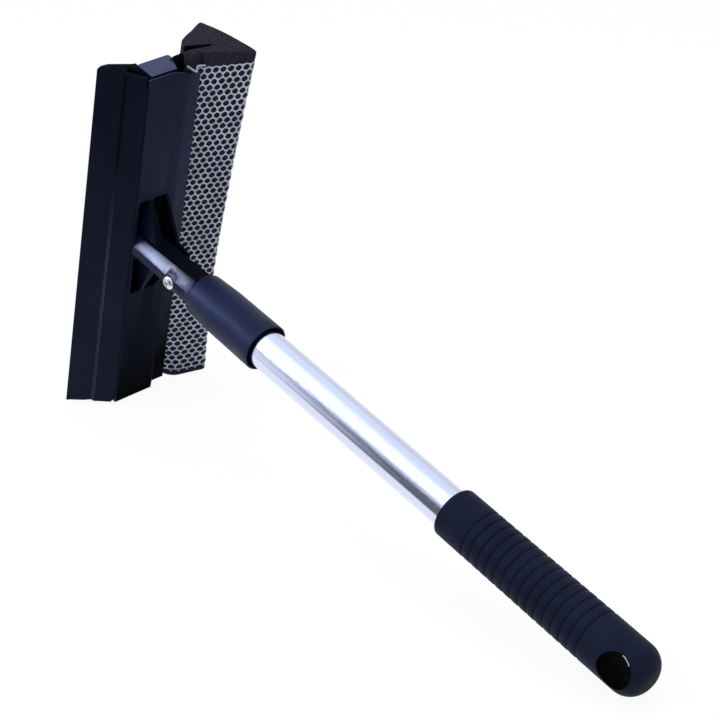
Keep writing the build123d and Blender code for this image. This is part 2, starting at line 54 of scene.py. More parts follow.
# Sponge, as corners of its section with their radii, and its ends
FOAM_PINCH = (9.6, 6.4)
FOAM_START = (25.9, 5.0)
FOAM_NEAR = (49.6, -3.4)
FOAM_FAR = (43.2, 28.9)
FOAM_LOBE = (24.2, 19.6)
FOAM_SLIT = (33.4, 9.4)
FOAM_MOUTH = (20.3, 11.4)
FOAM_BACK = (9.6, 10.2)
FOAM_SLIT_WIDTH = 2.8
FOAM_NEAR_ROUND = 1.5
FOAM_FAR_ROUND = 1.8
FOAM_RADII = (1.0, 0.0, 0.3, FOAM_NEAR_ROUND, FOAM_FAR_ROUND, 3.5, 1.8, 0.0, 1.0, 1.0)
FOAM_STEP = 1.6
FOAM_LOW = -101.9
FOAM_HIGH = 103.3
FOAM_LEVELS = 90
FOAM_EDGE = 1.6
FOAM_EDGE_RINGS = ((0.0, FOAM_EDGE), (0.15, 0.8), (0.6, 0.25))
FOAM_EDGE_SHARE = 0.55
FOAM_WAVE = 0.3
FOAM_WAVE_SCALE = 0.11
FOAM_WAVE_LIFT = 0.8
FOAM_DROOP = 2.8
FOAM_DROOP_REACH = 24.0
FOAM_SMOOTH_ANGLE = 50.0
# Place across the section beyond which the slit's walls get painted shade
SLIT_PAINTED_SHADE_FROM = 7.0

# Waist and flare of the sponge's near corner, along its near face
WAIST_HEIGHT = -35.0
WAIST_DEPTH = 2.3
FLARE_ABOVE = 6.6
FLARE_ABOVE_SPAN = 132.0
FLARE_BELOW = 2.0
FLARE_BELOW_SPAN = 55.0
FLARE_POWER = 1.5
FLARE_REACH = 30.0

# Lower edge of the sponge, which hangs lower beside the jaw, and its hollow between the jaws
SAG = 2.9
SAG_ROUND = 4.2
SAG_ROUND_SHARE = 0.4
SAG_HEIGHT = 30.0
HOLLOW = 14.0
HOLLOW_EDGE = (14.0, 21.0)
HOLLOW_DEEP = (6.6, 10.2)
# Largest x and y of the painted shade on the sponge's upper end in the hollow
HOLLOW_PAINTED_SHADE = (17.5, 11.0)
HOLLOW_ACROSS = (11.5, 13.5, 15.5, 17.5, 19.0, 20.6)
HOLLOW_ALONG = (7.4, 8.4, 9.4, 10.3)

# Net, its cut ends and its loose thread
NET_LIFT = 0.5
NET_TUCK = 2.6
NET_STEP = 1.0
NET_LOW = -97.0
NET_HIGH = 95.3
NET_LOW_PITCH = 4.6
NET_HIGH_PITCH = 3.5
NET_LOW_ROW = 3.1
NET_HIGH_ROW = 3.42
NET_UPRIGHT = 0.42
NET_THREAD = 0.9
NET_WANDER = 0.2
NET_WANDER_SCALE = 0.31
NET_WANDER_LEVEL = 3.7
NET_WANDER_SEED = 1
NET_SMOOTH_ANGLE = 180.0
TAIL_LENGTH = 1.4
TAIL_LEAN = 0.4
TAIL_SEED = 9.3
TAIL_STEPS = 4
THREAD_SIDES = 8
LOOSE_RADIUS = 0.48
LOOSE_STEPS = 6
LOOSE_THREAD = ((27.6, 4.0, 96.4), (24.9, 3.6, 97.4), (22.3, 3.4, 97.9), (21.7, 3.2, 96.4),
                (21.9, 3.2, 95.1), (20.6, 3.1, 95.9), (18.7, 3.2, 97.4), (15.7, 3.2, 100.0))

# Collar, as (radius, station) corners of its section with their radii
COLLAR_FRONT = 44.5
COLLAR_REAR = 94.0
COLLAR_SECTION = ((5.8, COLLAR_FRONT), (11.2, COLLAR_FRONT), (12.2, 62.0), (12.45, COLLAR_REAR),
                  (11.6, COLLAR_REAR), (11.6, 66.3), (10.3, 66.3), (10.3, 52.7), (8.9, 52.7),
                  (7.3, 47.5), (5.8, 47.5))
COLLAR_RADII = (0.3, 2.4, 60.0, 0.45, 0.35, 0, 0, 0, 0, 0, 0.3)
COLLAR_ROUND_STEPS = 10
COLLAR_STEP = 6.0

# Grip and its hanging hole
GRIP_BORE = 10.02
GRIP_BLIND = 326.15
GRIP_FRONT = 228.0
GRIP_FRONT_RADIUS = 12.6
GRIP_REAR_RADIUS = 13.1
GRIP_MOUTH_ROUND = 0.4
GRIP_SHOULDER_ROUND = 1.7
GRIP_TIP = 353.0
GRIP_TIP_ROUND = 11.0
GRIP_TIP_STEPS = 20
GROOVE_FIRST = 246.8
GROOVE_LEAD = 6.0
GROOVE_PITCH = 5.22
GROOVE_COUNT = 15
GROOVE_WIDTH = 2.6
GROOVE_DEPTH = 0.4
GROOVE_STEPS = 8
HOLE_STATION = 340.3
HOLE_RADIUS = 7.8
HOLE_ROLL = 14.0
HOLE_ROUND = 1.0
HOLE_ROUND_ANGLES = (78, 62, 46, 31, 15, 0)
HOLE_SIDES = 96
HOLE_PAST = 1.3 * GRIP_REAR_RADIUS
# Faces within the rim's reach of the hole's wall get painted shade, except those past the wall's reach in the
# glint's arc, in degrees, which get a painted glint
HOLE_WALL = 0.04
HOLE_RIM = 0.75
HOLE_PAINTED_GLINT_ARC = (54.0, 90.0)

# Head, the bounds of its zones of painted light and shade, and the rounding of its edges
HEAD_HALF = 101.5
PLATE_RIGHT = 14.0
PLATE_LEFT = -9.2
PLATE_FRONT = -0.8
PLATE_MIDDLE = 1.3
PLATE_CORNER = 4.0
PLATE_CORNER_DROP = 3.4
PLATE_CORNER_POWER = 1.6
PLATE_CORNER_STEPS = 6
PLATE_BEVEL = 1.2
PLATE_END = 1.0
PLATE_EDGE = 0.4
JAW_START = 18.2
NECK_EDGE = -4.6
BOSS_FACE_REACH = 4.5
BOSS_SIDE_REACH = 5.0
BOSS_SIDE_INSET = 0.5
BOSS_SIDE_LOW = 1.0
SHELL_ROUND = 0.35
RUBBER_ROUND = 0.3
ROUND_SEGMENTS = 3
LEAST_EDGE = 1.2
SHARP_ANGLE = 20.0
FLAT_ANGLE = 0.5
SHELL_SMOOTH_ANGLE = 25.0

# Rubber, by distances along its near face from the tip and below that face
RUBBER_TIP = (-27.558, 18.358)
RUBBER_ROOT = 23.7
RUBBER_ROOT_SPAN = 0.2
RUBBER_REACH = 25.4
RUBBER_END = 0.5
RUBBER_ENDS = (-100.9, -99.2, 96.0, 97.7)
RUBBER_GROOVE = (12.9, 0.8)
RUBBER_STEP = 14.7
RUBBER_STEP_SPAN = 1.2
RUBBER_STEP_DEPTHS = (0.3, 0.7)
RUBBER_STEP_ZONE = (-0.1, 1.0)
RUBBER_RISES = ((0.0, -1.5), (0.7, -0.4), (1.6, 0.3), (4.5, 0.9), (9.0, 0.3), (14.7, -0.3), (23.7, 0.0))

# Screws, as (radius, depth) outlines, and their recesses as half width, reach and depth
SCREW_SIDES = 64
NECK_SCREW_STATION = 29.5
NECK_SCREW_TOP = -11.0
NECK_SCREW_TURN = 24.0
NECK_SCREW_CROSS = (0.55, 2.1, 1.5)
NECK_SCREW_OUTLINE = ((0.05, 0.0), (1.4, 0.03), (2.3, 0.18), (3.0, 0.5), (3.5, 1.0), (3.72, 1.5),
                      (3.75, 1.8), (3.68, 2.0), (2.0, 2.0), (2.0, 20.0))
JOINT_SCREW_X = 2.4
JOINT_SCREW_HEIGHTS = (-84.0, -42.0, 42.0, 84.0)
JOINT_SCREW_FIRST_TURN = 17.0
JOINT_SCREW_NEXT_TURN = 31.0
JOINT_SCREW_CROSS = (0.32, 1.35, 0.8)
JOINT_SCREW_OUTLINE = ((0.05, 0.06), (2.1, 0.06), (2.3, 0.14), (2.4, 0.3), (2.4, 0.9), (1.25, 0.9),
                       (1.25, 7.0))
FRAME_BACK = 14.4


def tool_matrix():
    """Tool frame in millimetres, as a matrix to the row frame in metres."""
    joint = next(j for j in frame["joints"] if j["name"] == "collar_twist")
    along = Vector(joint["axis"]).normalized()
    across = Vector((1, 0, 0))
    up = across.cross(along)
    origin = Vector(joint["pos_m"]) + along * COLLAR_FRONT * MM
    turn = Matrix((across, along, up)).transposed().to_4x4()
    return Matrix.Translation(origin) @ turn @ Matrix.Scale(MM, 4)


TOOL = tool_matrix()


# Mesh helpers

def placed(name, bm, smooth_angle=SMOOTH_ANGLE):
    """New object in the row frame from a mesh in the tool frame."""
    bm.transform(TOOL)
    bmesh.ops.recalc_face_normals(bm, faces=bm.faces)
    mesh = bpy.data.meshes.new(name)
    bm.to_mesh(mesh)
    bm.free()
    mesh.shade_smooth()
    mesh.set_sharp_from_angle(angle=radians(smooth_angle))
    thing = bpy.data.objects.new(name, mesh)
    bpy.context.scene.collection.objects.link(thing)
    return thing


def applied(thing):
    """Object whose mesh is replaced by the one its modifiers give."""
    graph = bpy.context.evaluated_depsgraph_get()
    mesh = bpy.data.meshes.new_from_object(thing.evaluated_get(graph))
    thing.modifiers.clear()
    thing.data = mesh
    return thing


def cut(thing, cutter):
    """Take the cutter's volume out of an object."""
    step = thing.modifiers.new("cut", "BOOLEAN")
    step.operation = "DIFFERENCE"
    step.solver = "EXACT"
    step.object = cutter
    applied(thing)
    bpy.data.objects.remove(cutter)
    thing.data.shade_smooth()
    thing.data.set_sharp_from_angle(angle=radians(SMOOTH_ANGLE))
    return thing


def rounded(points, radii, steps=6):
    """Outline with round corners; one radius for each corner, none at the ends of an open one."""
    out = []
    for i, (point, radius) in enumerate(zip(points, radii)):
        corner = Vector(point)
        if radius <= 0:
            out.append(corner)
            continue
        before = (Vector(points[i - 1]) - corner).normalized()
        after = (Vector(points[(i + 1) % len(points)]) - corner).normalized()
        half = acos(max(-1.0, min(1.0, before.dot(after)))) / 2
        centre = corner + (before + after).normalized() * radius / sin(half)
        first = corner + before * radius / tan(half) - centre
        last = corner + after * radius / tan(half) - centre
        start = atan2(first.y, first.x)
        sweep = (atan2(last.y, last.x) - start + pi) % (2 * pi) - pi
        for k in range(steps + 1):
            turn = start + sweep * k / steps
            out.append(centre + Vector((cos(turn), sin(turn))) * radius)
    return out


def divided(points, step, closed=True):
    """Outline with its long runs divided into steps."""
    out = []
    ends = points[1:] + points[:1] if closed else points[1:]
    for a, b in zip(points, ends):
        count = max(1, round((b - a).length / step))
        out += [a.lerp(b, k / count) for k in range(count)]
    return out if closed else out + [points[-1]]


def lathe(outline):
    """Mesh of a closed (radius, station) outline turned about the handle axis."""
    bm = bmesh.new()
    rings = []
    for k in range(SEGMENTS):
        turn = 2 * pi * k / SEGMENTS
        rings.append([bm.verts.new((r * cos(turn), -s, r * sin(turn))) for r, s in outline])
    for ring, after in zip(rings, rings[1:] + rings[:1]):
        for i in range(len(outline)):
            bm.faces.new((ring[i - 1], ring[i], after[i], after[i - 1]))
    bmesh.ops.remove_doubles(bm, verts=bm.verts, dist=TINY)
    return bm


def skinned(bm, rings):
    """Faces between closed rings of points, with the first and last ring filled."""
    made = [[bm.verts.new(p) for p in ring] for ring in rings]
    for ring, after in zip(made, made[1:]):
        for i in range(len(ring)):
            bm.faces.new((ring[i - 1], ring[i], after[i], after[i - 1]))
    bm.faces.new(made[0])
    bm.faces.new(made[-1])
    return bm


def parted(bm, point, way):
    """Part all faces of a mesh along a plane."""
    bmesh.ops.bisect_plane(bm, geom=bm.verts[:] + bm.edges[:] + bm.faces[:], plane_co=point, plane_no=way)


def smooth_share(value):
    """Soft step from 0 to 1."""
    share = max(0.0, min(1.0, value))
    return share * share * (3 - 2 * share)


# Head

def plate_shape(bm):
    """Round the plate's upper corner over the jaw, bevel its upper end and part the neck at its screw."""
    for k in range(PLATE_CORNER_STEPS):
        x = PLATE_CORNER + (PLATE_RIGHT - PLATE_CORNER) * k / PLATE_CORNER_STEPS
        parted(bm, (x, 0, 0), (1, 0, 0))
    for vert in bm.verts:
        if vert.co.z > HEAD_HALF - PLATE_END and vert.co.x < PLATE_RIGHT + SLACK:
            share = max(0.0, (vert.co.x - PLATE_CORNER) / (PLATE_RIGHT - PLATE_CORNER))
            vert.co.z -= PLATE_CORNER_DROP * share ** PLATE_CORNER_POWER
            if vert.co.y > PLATE_MIDDLE:
                vert.co.z -= PLATE_BEVEL
    parted(bm, (0, -NECK_SCREW_STATION, 0), (0, 1, 0))


def rubber_place(point):
    """Distances along the rubber's near face from its tip and below that face."""
    x, y = point.x - RUBBER_TIP[0], point.y - RUBBER_TIP[1]
    return (x - y) / sqrt(2), (x + y) / sqrt(2)


def rubber_point(along, depth, z):
    """Point at given distances on the rubber's section."""
    return Vector((RUBBER_TIP[0] + (along + depth) / sqrt(2), RUBBER_TIP[1] + (depth - along) / sqrt(2), z))


def rubber_rise(along):
    """Rise of the rubber's upper end at a distance from its tip."""
    rise = 0.0
    for (a, low), (b, high) in zip(RUBBER_RISES, RUBBER_RISES[1:]):
        if a - SLACK / 10 <= along <= b + SLACK / 10:
            rise = low + (high - low) * (along - a) / (b - a)
    return rise if along < RUBBER_ROOT else 0.0


def rubber_shape(bm):
    """Widen the rubber's step, bring its root up to the plate and curve its upper end."""
    for z in RUBBER_ENDS:
        parted(bm, (0, 0, z), (0, 0, 1))
    for along, _ in RUBBER_RISES[1:-1]:
        parted(bm, rubber_point(along, 0, 0), (1, -1, 0))
    low, high = RUBBER_STEP_DEPTHS
    for vert in bm.verts:
        along, depth = rubber_place(vert.co)
        if vert.co.z > HEAD_HALF - RUBBER_END:
            vert.co.z += rubber_rise(along)
        if low < depth < high and abs(along - RUBBER_STEP) < RUBBER_STEP_SPAN:
            vert.co = rubber_point(*RUBBER_GROOVE, vert.co.z)
        inside = RUBBER_ENDS[0] + SLACK < vert.co.z < RUBBER_ENDS[-1] - SLACK
        if inside and depth < low and abs(along - RUBBER_ROOT) < RUBBER_ROOT_SPAN:
            vert.co = rubber_point(RUBBER_REACH, depth, vert.co.z)


def softened(name, node, width, zones, shape=None):
    """Copy of a solid with its long sharp edges rounded; each zone gets a material of its own, which paints light
    or shade on it.
    """
    bm = bmesh.new()
    bm.from_mesh(nodes[node].data)
    bm.transform(TOOL.inverted())
    bmesh.ops.remove_doubles(bm, verts=bm.verts, dist=10 * TINY)
    bmesh.ops.dissolve_limit(bm, angle_limit=radians(FLAT_ANGLE), verts=bm.verts, edges=bm.edges)
    if shape:
        shape(bm)
    sharp = [e for e in bm.edges if len(e.link_faces) == 2 and e.calc_length() > LEAST_EDGE
             and e.calc_face_angle() > radians(SHARP_ANGLE)]
    bmesh.ops.bevel(bm, geom=sharp, offset=width, offset_type="OFFSET", segments=ROUND_SEGMENTS,
                    profile=0.5, affect="EDGES", clamp_overlap=False)
    bmesh.ops.remove_doubles(bm, verts=bm.verts, dist=TINY)
    for face in bm.faces:
        centre = face.calc_center_median()
        for number, zone in enumerate(zones):
            if zone(centre, face.normal):
                face.material_index = number + 1
    return placed(name, bm, SHELL_SMOOTH_ANGLE)


def is_end(centre, normal):
    """Face at an end of the head; on the plastic it gets a painted highlight, on the rubber painted shade."""
    return abs(centre.z) > HEAD_HALF - PLATE_CORNER_DROP - PLATE_BEVEL and abs(normal.z) > 0.8


def is_jaw(centre, normal):
    """Face of the near jaw's front, which is painted lighter than the plate, and darker towards the bottom."""
    return centre.x > JAW_START and normal.y < -0.9


def is_edge(centre, normal):
    """Face of the plate's left edge, or of the neck's lower slope; both get a painted highlight."""
    low = is_deep(centre, normal) and normal.z < -0.3 and normal.x < -0.3
    return low or (centre.x < PLATE_LEFT + PLATE_EDGE and normal.x < -0.2)


def is_deep(centre, normal):
    """Face in front of the head's plate, which is one of the neck or its ribs; it gets painted shade."""
    return centre.y < PLATE_FRONT and centre.x < JAW_START


def is_glare(centre, normal):
    """Face of the neck's upper slope, or of the boss on it, which gets a painted highlight."""
    boss = abs(centre.y + NECK_SCREW_STATION) < BOSS_FACE_REACH and centre.x < NECK_EDGE
    return is_deep(centre, normal) and normal.z > 0.25 and (normal.x < -0.25 or boss)


def is_boss(centre, normal):
    """Face of the side of the boss on the neck's upper slope, which gets a painted highlight."""
    near = abs(centre.y + NECK_SCREW_STATION) < BOSS_SIDE_REACH and centre.x < NECK_EDGE - BOSS_SIDE_INSET
    return near and centre.z > BOSS_SIDE_LOW and normal.x > -0.6


def is_dim(centre, normal):
    """Face of the neck's upper slope behind the screw, which gets a dimmer painted highlight."""
    return is_glare(centre, normal) and centre.y < -NECK_SCREW_STATION


def is_step(centre, normal):
    """Face of the step in the rubber's near face, which gets painted shade above and a painted highlight below."""
    along, depth = rubber_place(centre)
    low, high = RUBBER_STEP_ZONE
    return RUBBER_GROOVE[0] < along < RUBBER_STEP and low < depth < high


# Sponge and net

def flare(z):
    """Shift of the sponge's near corner along the near face at height z."""
    if z > WAIST_HEIGHT:
        return FLARE_ABOVE * ((z - WAIST_HEIGHT) / FLARE_ABOVE_SPAN) ** FLARE_POWER - WAIST_DEPTH
    return FLARE_BELOW * ((WAIST_HEIGHT - z) / FLARE_BELOW_SPAN) ** FLARE_POWER - WAIST_DEPTH


def near_way():
    """Direction of the sponge's near face from the jaw to the near corner."""
    return (Vector(FOAM_NEAR) - Vector(FOAM_START)).normalized()


def flared(point, z):
    """Point of the sponge's section at height z, drawn in at the waist and out at the ends."""
    share = max(0.0, 1 - (Vector(point) - Vector(FOAM_NEAR)).length / FLARE_REACH)
    return Vector(point) + near_way() * flare(z) * share


def sag(x, z):
    """How much lower the sponge hangs at x, most at its lower edge beside the jaw."""
    share = max(0.0, min(1.0, (x - FOAM_START[0]) / (FOAM_NEAR[0] - FOAM_START[0])))
    curl = max(0.0, 1 - share / SAG_ROUND_SHARE) ** 2
    low = max(0.0, 1 - (z - FOAM_LOW) / SAG_HEIGHT)
    return (SAG * (1 - share) - SAG_ROUND * curl) * low


def hollow(point, z):
    """How much lower the sponge's upper end lies where the jaws pinch it."""
    side = 1 - smooth_share((point.x - HOLLOW_EDGE[0]) / (HOLLOW_EDGE[1] - HOLLOW_EDGE[0]))
    deep = 1 - smooth_share((point.y - HOLLOW_DEEP[0]) / (HOLLOW_DEEP[1] - HOLLOW_DEEP[0]))
    high = max(0.0, 1 - (FOAM_HIGH - z) / SAG_HEIGHT)
    return HOLLOW * side * deep * high


def droop(point, z):
    """How much lower the sponge's upper end lies at its near corner."""
    share = max(0.0, 1 - (Vector(point) - Vector(FOAM_NEAR)).length / FOAM_DROOP_REACH)
    return FOAM_DROOP * share ** 2 * max(0.0, 1 - (FOAM_HIGH - z) / SAG_HEIGHT)


def foam_levels():
    """Heights of the foam's rings with their insets, which round both ends."""
    low, high = FOAM_LOW + FOAM_EDGE, FOAM_HIGH - FOAM_EDGE
    levels = [(FOAM_LOW + rise, inset) for rise, inset in FOAM_EDGE_RINGS]
    levels += [(low + (high - low) * k / FOAM_LEVELS, 0.0) for k in range(FOAM_LEVELS + 1)]
    return levels + [(FOAM_HIGH - rise, inset) for rise, inset in reversed(FOAM_EDGE_RINGS)]


def foam_bar():
    """Foam bar with a slit, soft edges and a slightly uneven skin; its slit walls and part of its pinched hollow
    get painted shade.
    """
    slit_far = (FOAM_MOUTH[0], FOAM_MOUTH[1] + FOAM_SLIT_WIDTH)
    corners = [FOAM_PINCH, (FOAM_START[0], FOAM_PINCH[1]), FOAM_START, FOAM_NEAR, FOAM_FAR, FOAM_LOBE,
               slit_far, FOAM_SLIT, FOAM_MOUTH, FOAM_BACK]
    outline = divided(rounded(corners, FOAM_RADII), FOAM_STEP)
    count = len(outline)
    normals = []
    for i in range(count):
        run = outline[(i + 1) % count] - outline[i - 1]
        normals.append(Vector((run.y, -run.x)).normalized())
    rings, shifts = [], []
    for z, inset in foam_levels():
        ring = []
        for point, normal in zip(outline, normals):
            wave = noise.noise(Vector((point.x, point.y, z)) * FOAM_WAVE_SCALE) * FOAM_WAVE
            x, y = flared(point, z) - normal * (inset * FOAM_EDGE_SHARE - wave)
            ring.append((x, y, z))
            shifts.append(wave * FOAM_WAVE_LIFT - sag(point.x, z) - hollow(point, z) - droop(point, z))
        rings.append(ring)
    bm = skinned(bmesh.new(), rings)
    # Painted shade on the slit's walls
    for number, face in enumerate(bm.faces):
        point = (outline[number % count] + outline[number % count - 1]) / 2
        across = FOAM_MOUTH[0] < point.x < FOAM_SLIT[0]
        if len(face.verts) == 4 and across and SLIT_PAINTED_SHADE_FROM < point.y < slit_far[1]:
            face.material_index = 1
    shift_of = dict(zip(bm.verts, shifts))
    top = FOAM_HIGH - TINY
    for lines, way in ((HOLLOW_ACROSS, (1, 0, 0)), (HOLLOW_ALONG, (0, 1, 0))):
        for line in lines:
            upper = [f for f in bm.faces if all(v.co.z > top for v in f.verts)]
            parts = set(upper).union(*(f.edges for f in upper), *(f.verts for f in upper))
            bmesh.ops.bisect_plane(bm, geom=list(parts), plane_co=Vector(way) * line, plane_no=way)
    # Painted shade on the near part of the hollow's upper end
    for face in bm.faces:
        x, y, z = face.calc_center_median()
        if z > top and x < HOLLOW_PAINTED_SHADE[0] and y < HOLLOW_PAINTED_SHADE[1]:
            face.material_index = 1
    for vert in bm.verts:
        own = -hollow(vert.co, vert.co.z) - droop(vert.co.xy, vert.co.z)
        vert.co.z += shift_of.get(vert, own)
    return placed("foam_bar", bm, FOAM_SMOOTH_ANGLE)


def net_path():
    """Line from under the jaw over the sponge's near, side and back faces, with its lengths."""
    tucked = Vector(FOAM_START) - near_way() * NET_TUCK
    line = rounded([tucked, FOAM_NEAR, FOAM_FAR, FOAM_LOBE], [0, FOAM_NEAR_ROUND, FOAM_FAR_ROUND, 0])
    line = divided(line, NET_STEP, closed=False)
    lifted = []
    for i, point in enumerate(line):
        run = line[min(i + 1, len(line) - 1)] - line[max(i - 1, 0)]
        lifted.append(point + Vector((run.y, -run.x)).normalized() * NET_LIFT)
    lengths = [0.0]
    for a, b in zip(lifted, lifted[1:]):
        lengths.append(lengths[-1] + (b - a).length)
    return lifted, lengths


NET_LINE, NET_LENGTHS = net_path()


def on_net(u, z):
    """Point of the net at length u along its line and height z."""
    u = max(0.0, min(NET_LENGTHS[-1], u))
    i = 0
    while i < len(NET_LINE) - 2 and NET_LENGTHS[i + 1] < u:
        i += 1
    share = (u - NET_LENGTHS[i]) / (NET_LENGTHS[i + 1] - NET_LENGTHS[i])
    point = NET_LINE[i].lerp(NET_LINE[i + 1], share)
    x, y = flared(point, z)
    return x, y, z - sag(point.x, z)


def net_share(z):
    """Share of the net's length below height z."""
    return (z - NET_LOW) / (NET_HIGH - NET_LOW)


def net_pitch(z):
    """Width of the net's cells at height z; they are wider at the lower end."""
    return NET_LOW_PITCH + (NET_HIGH_PITCH - NET_LOW_PITCH) * net_share(z)


def net_rows():
    """Heights of the lines between the net's rows; the rows are lower at the lower end."""
    heights = [NET_LOW]
    while heights[-1] < NET_HIGH:
        share = net_share(heights[-1])
        heights.append(heights[-1] + NET_LOW_ROW + (NET_HIGH_ROW - NET_LOW_ROW) * share)
    return heights


def hex_net():
    """Knitted net of six-sided cells over the sponge; its seed makes it the same in each run."""
    noise.seed_set(NET_WANDER_SEED)
    bm = bmesh.new()
    corners = {}
    heights = net_rows()

    def corner(half, line, above):
        """Corner of a cell at a half pitch, just above or below the line between two rows."""
        key = (half, line, above)
        if key not in corners:
            row = heights[min(line + 1, len(heights) - 1)] - heights[max(line - 1, 0)]
            z = heights[line] + (0.5 if above else -0.5) * row / 2 * (1 - NET_UPRIGHT)
            u = half * net_pitch(z) / 2
            spot = Vector((u * NET_WANDER_SCALE, z * NET_WANDER_SCALE, NET_WANDER_LEVEL))
            du, dz, _ = noise.noise_vector(spot) * NET_WANDER
            corners[key] = bm.verts.new(on_net(u + du, z + dz)) if u <= NET_LENGTHS[-1] else None
        return corners[key]

    for row in range(len(heights) - 2):
        for column in range(int(NET_LENGTHS[-1] / NET_HIGH_PITCH)):
            half = 2 * column + 1 + row % 2
            low, high = row, row + 1
            ring = [corner(half, high, True), corner(half - 1, high, False), corner(half - 1, low, True),
                    corner(half, low, False), corner(half + 1, low, True), corner(half + 1, high, False)]
            if all(ring):
                bm.faces.new(ring)
    bmesh.ops.delete(bm, geom=[v for v in bm.verts if not v.link_faces], context="VERTS")
    bmesh.ops.recalc_face_normals(bm, faces=bm.faces)
    bmesh.ops.wireframe(bm, faces=bm.faces, thickness=NET_THREAD, offset=0.0, use_replace=True,
                        use_boundary=True, use_even_offset=True)
    thing = placed("hex_net", bm, NET_SMOOTH_ANGLE)
    step = thing.modifiers.new("round", "SUBSURF")
    step.levels = 1
    step.render_levels = 1
    return applied(thing)


def tube_along(bm, line, radius):
    """Round thread along a line of points, with closed ends."""
    turns = [2 * pi * k / THREAD_SIDES for k in range(THREAD_SIDES)]
    aside = Vector((0.3, 0.8, 0.5))
    rings = []
    for i, point in enumerate(line):
        run = (line[min(i + 1, len(line) - 1)] - line[max(i - 1, 0)]).normalized()
        side = run.cross(aside).normalized()
        up = side.cross(run)
        rings.append([point + (side * cos(t) + up * sin(t)) * radius for t in turns])
    return skinned(bm, rings)


def curve_through(points):
    """Smooth line through points."""
    ends = [points[0], *points, points[-1]]
    line = []
    for before, a, b, after in zip(ends, ends[1:], ends[2:], ends[3:]):
        for k in range(LOOSE_STEPS):
            t = k / LOOSE_STEPS
            out, back = (b - before) / 2, (after - a) / 2
            line.append(a * (1 + 2 * t) * (1 - t) ** 2 + out * t * (1 - t) ** 2
                        + b * (3 - 2 * t) * t ** 2 - back * (1 - t) * t ** 2)
    return line + [points[-1]]


def loose_threads():
    """Loose thread at the net's upper corner by the jaw, and cut ends along its lower edge."""
    bm = bmesh.new()
    tube_along(bm, curve_through([Vector(p) for p in LOOSE_THREAD]), LOOSE_RADIUS)
    for column in range(int(NET_LENGTHS[-1] / NET_LOW_PITCH)):
        u = (column + 0.5) * NET_LOW_PITCH
        lean = TAIL_LEAN * noise.noise(Vector((u, 0.0, TAIL_SEED)))
        line = []
        for k in range(TAIL_STEPS + 1):
            share = k / TAIL_STEPS
            line.append(Vector(on_net(u + lean * share, NET_LOW - TAIL_LENGTH * share)))
        tube_along(bm, line, NET_THREAD / 2)
    return placed("loose_threads", bm, NET_SMOOTH_ANGLE)


# Handle

def grip_radius(station):
    """Outer radius of the grip without its grooves."""
    end = GROOVE_FIRST + (GROOVE_COUNT - 1) * GROOVE_PITCH + GROOVE_WIDTH / 2
    if station <= end:
        share = (station - GRIP_FRONT) / (end - GRIP_FRONT)
        return GRIP_FRONT_RADIUS + share * (GRIP_REAR_RADIUS - GRIP_FRONT_RADIUS)
    past = max(0.0, station - GRIP_TIP + GRIP_TIP_ROUND)
    return GRIP_REAR_RADIUS - GRIP_TIP_ROUND + sqrt(max(0.0, GRIP_TIP_ROUND ** 2 - past ** 2))


def hole_ways():
    """Directions along the hanging hole and across the grip beside it."""
    roll = radians(HOLE_ROLL)
    return Vector((cos(roll), 0, -sin(roll))), Vector((sin(roll), 0, cos(roll)))


def hole_cutter():
    """Hanging hole with rounded mouths that follow the grip's surface."""
    axis, lateral = hole_ways()
    fillet = [radians(a) for a in HOLE_ROUND_ANGLES]
    outer = HOLE_RADIUS + HOLE_ROUND * (1 - cos(fillet[0]))

    def spot(turn, radius, height):
        station = HOLE_STATION + radius * cos(turn)
        return axis * height + lateral * radius * sin(turn) - Vector((0, station, 0))

    def skin(turn, radius):
        outside = grip_radius(HOLE_STATION + radius * cos(turn))
        return sqrt(max(0.0, outside ** 2 - (radius * sin(turn)) ** 2))

    turns = [2 * pi * k / HOLE_SIDES for k in range(HOLE_SIDES)]
    rings = [[spot(t, outer, HOLE_PAST) for t in turns]]
    for side in (1, -1):
        mouth = []
        for angle in fillet:
            radius = HOLE_RADIUS + HOLE_ROUND * (1 - cos(angle))
            depth = HOLE_ROUND * (1 - sin(angle))
            mouth.append([spot(t, radius, side * (skin(t, radius) - depth)) for t in turns])
        rings += mouth if side > 0 else mouth[::-1]
    rings.append([spot(t, outer, -HOLE_PAST) for t in turns])
    return placed("hole_cutter", skinned(bmesh.new(), rings))


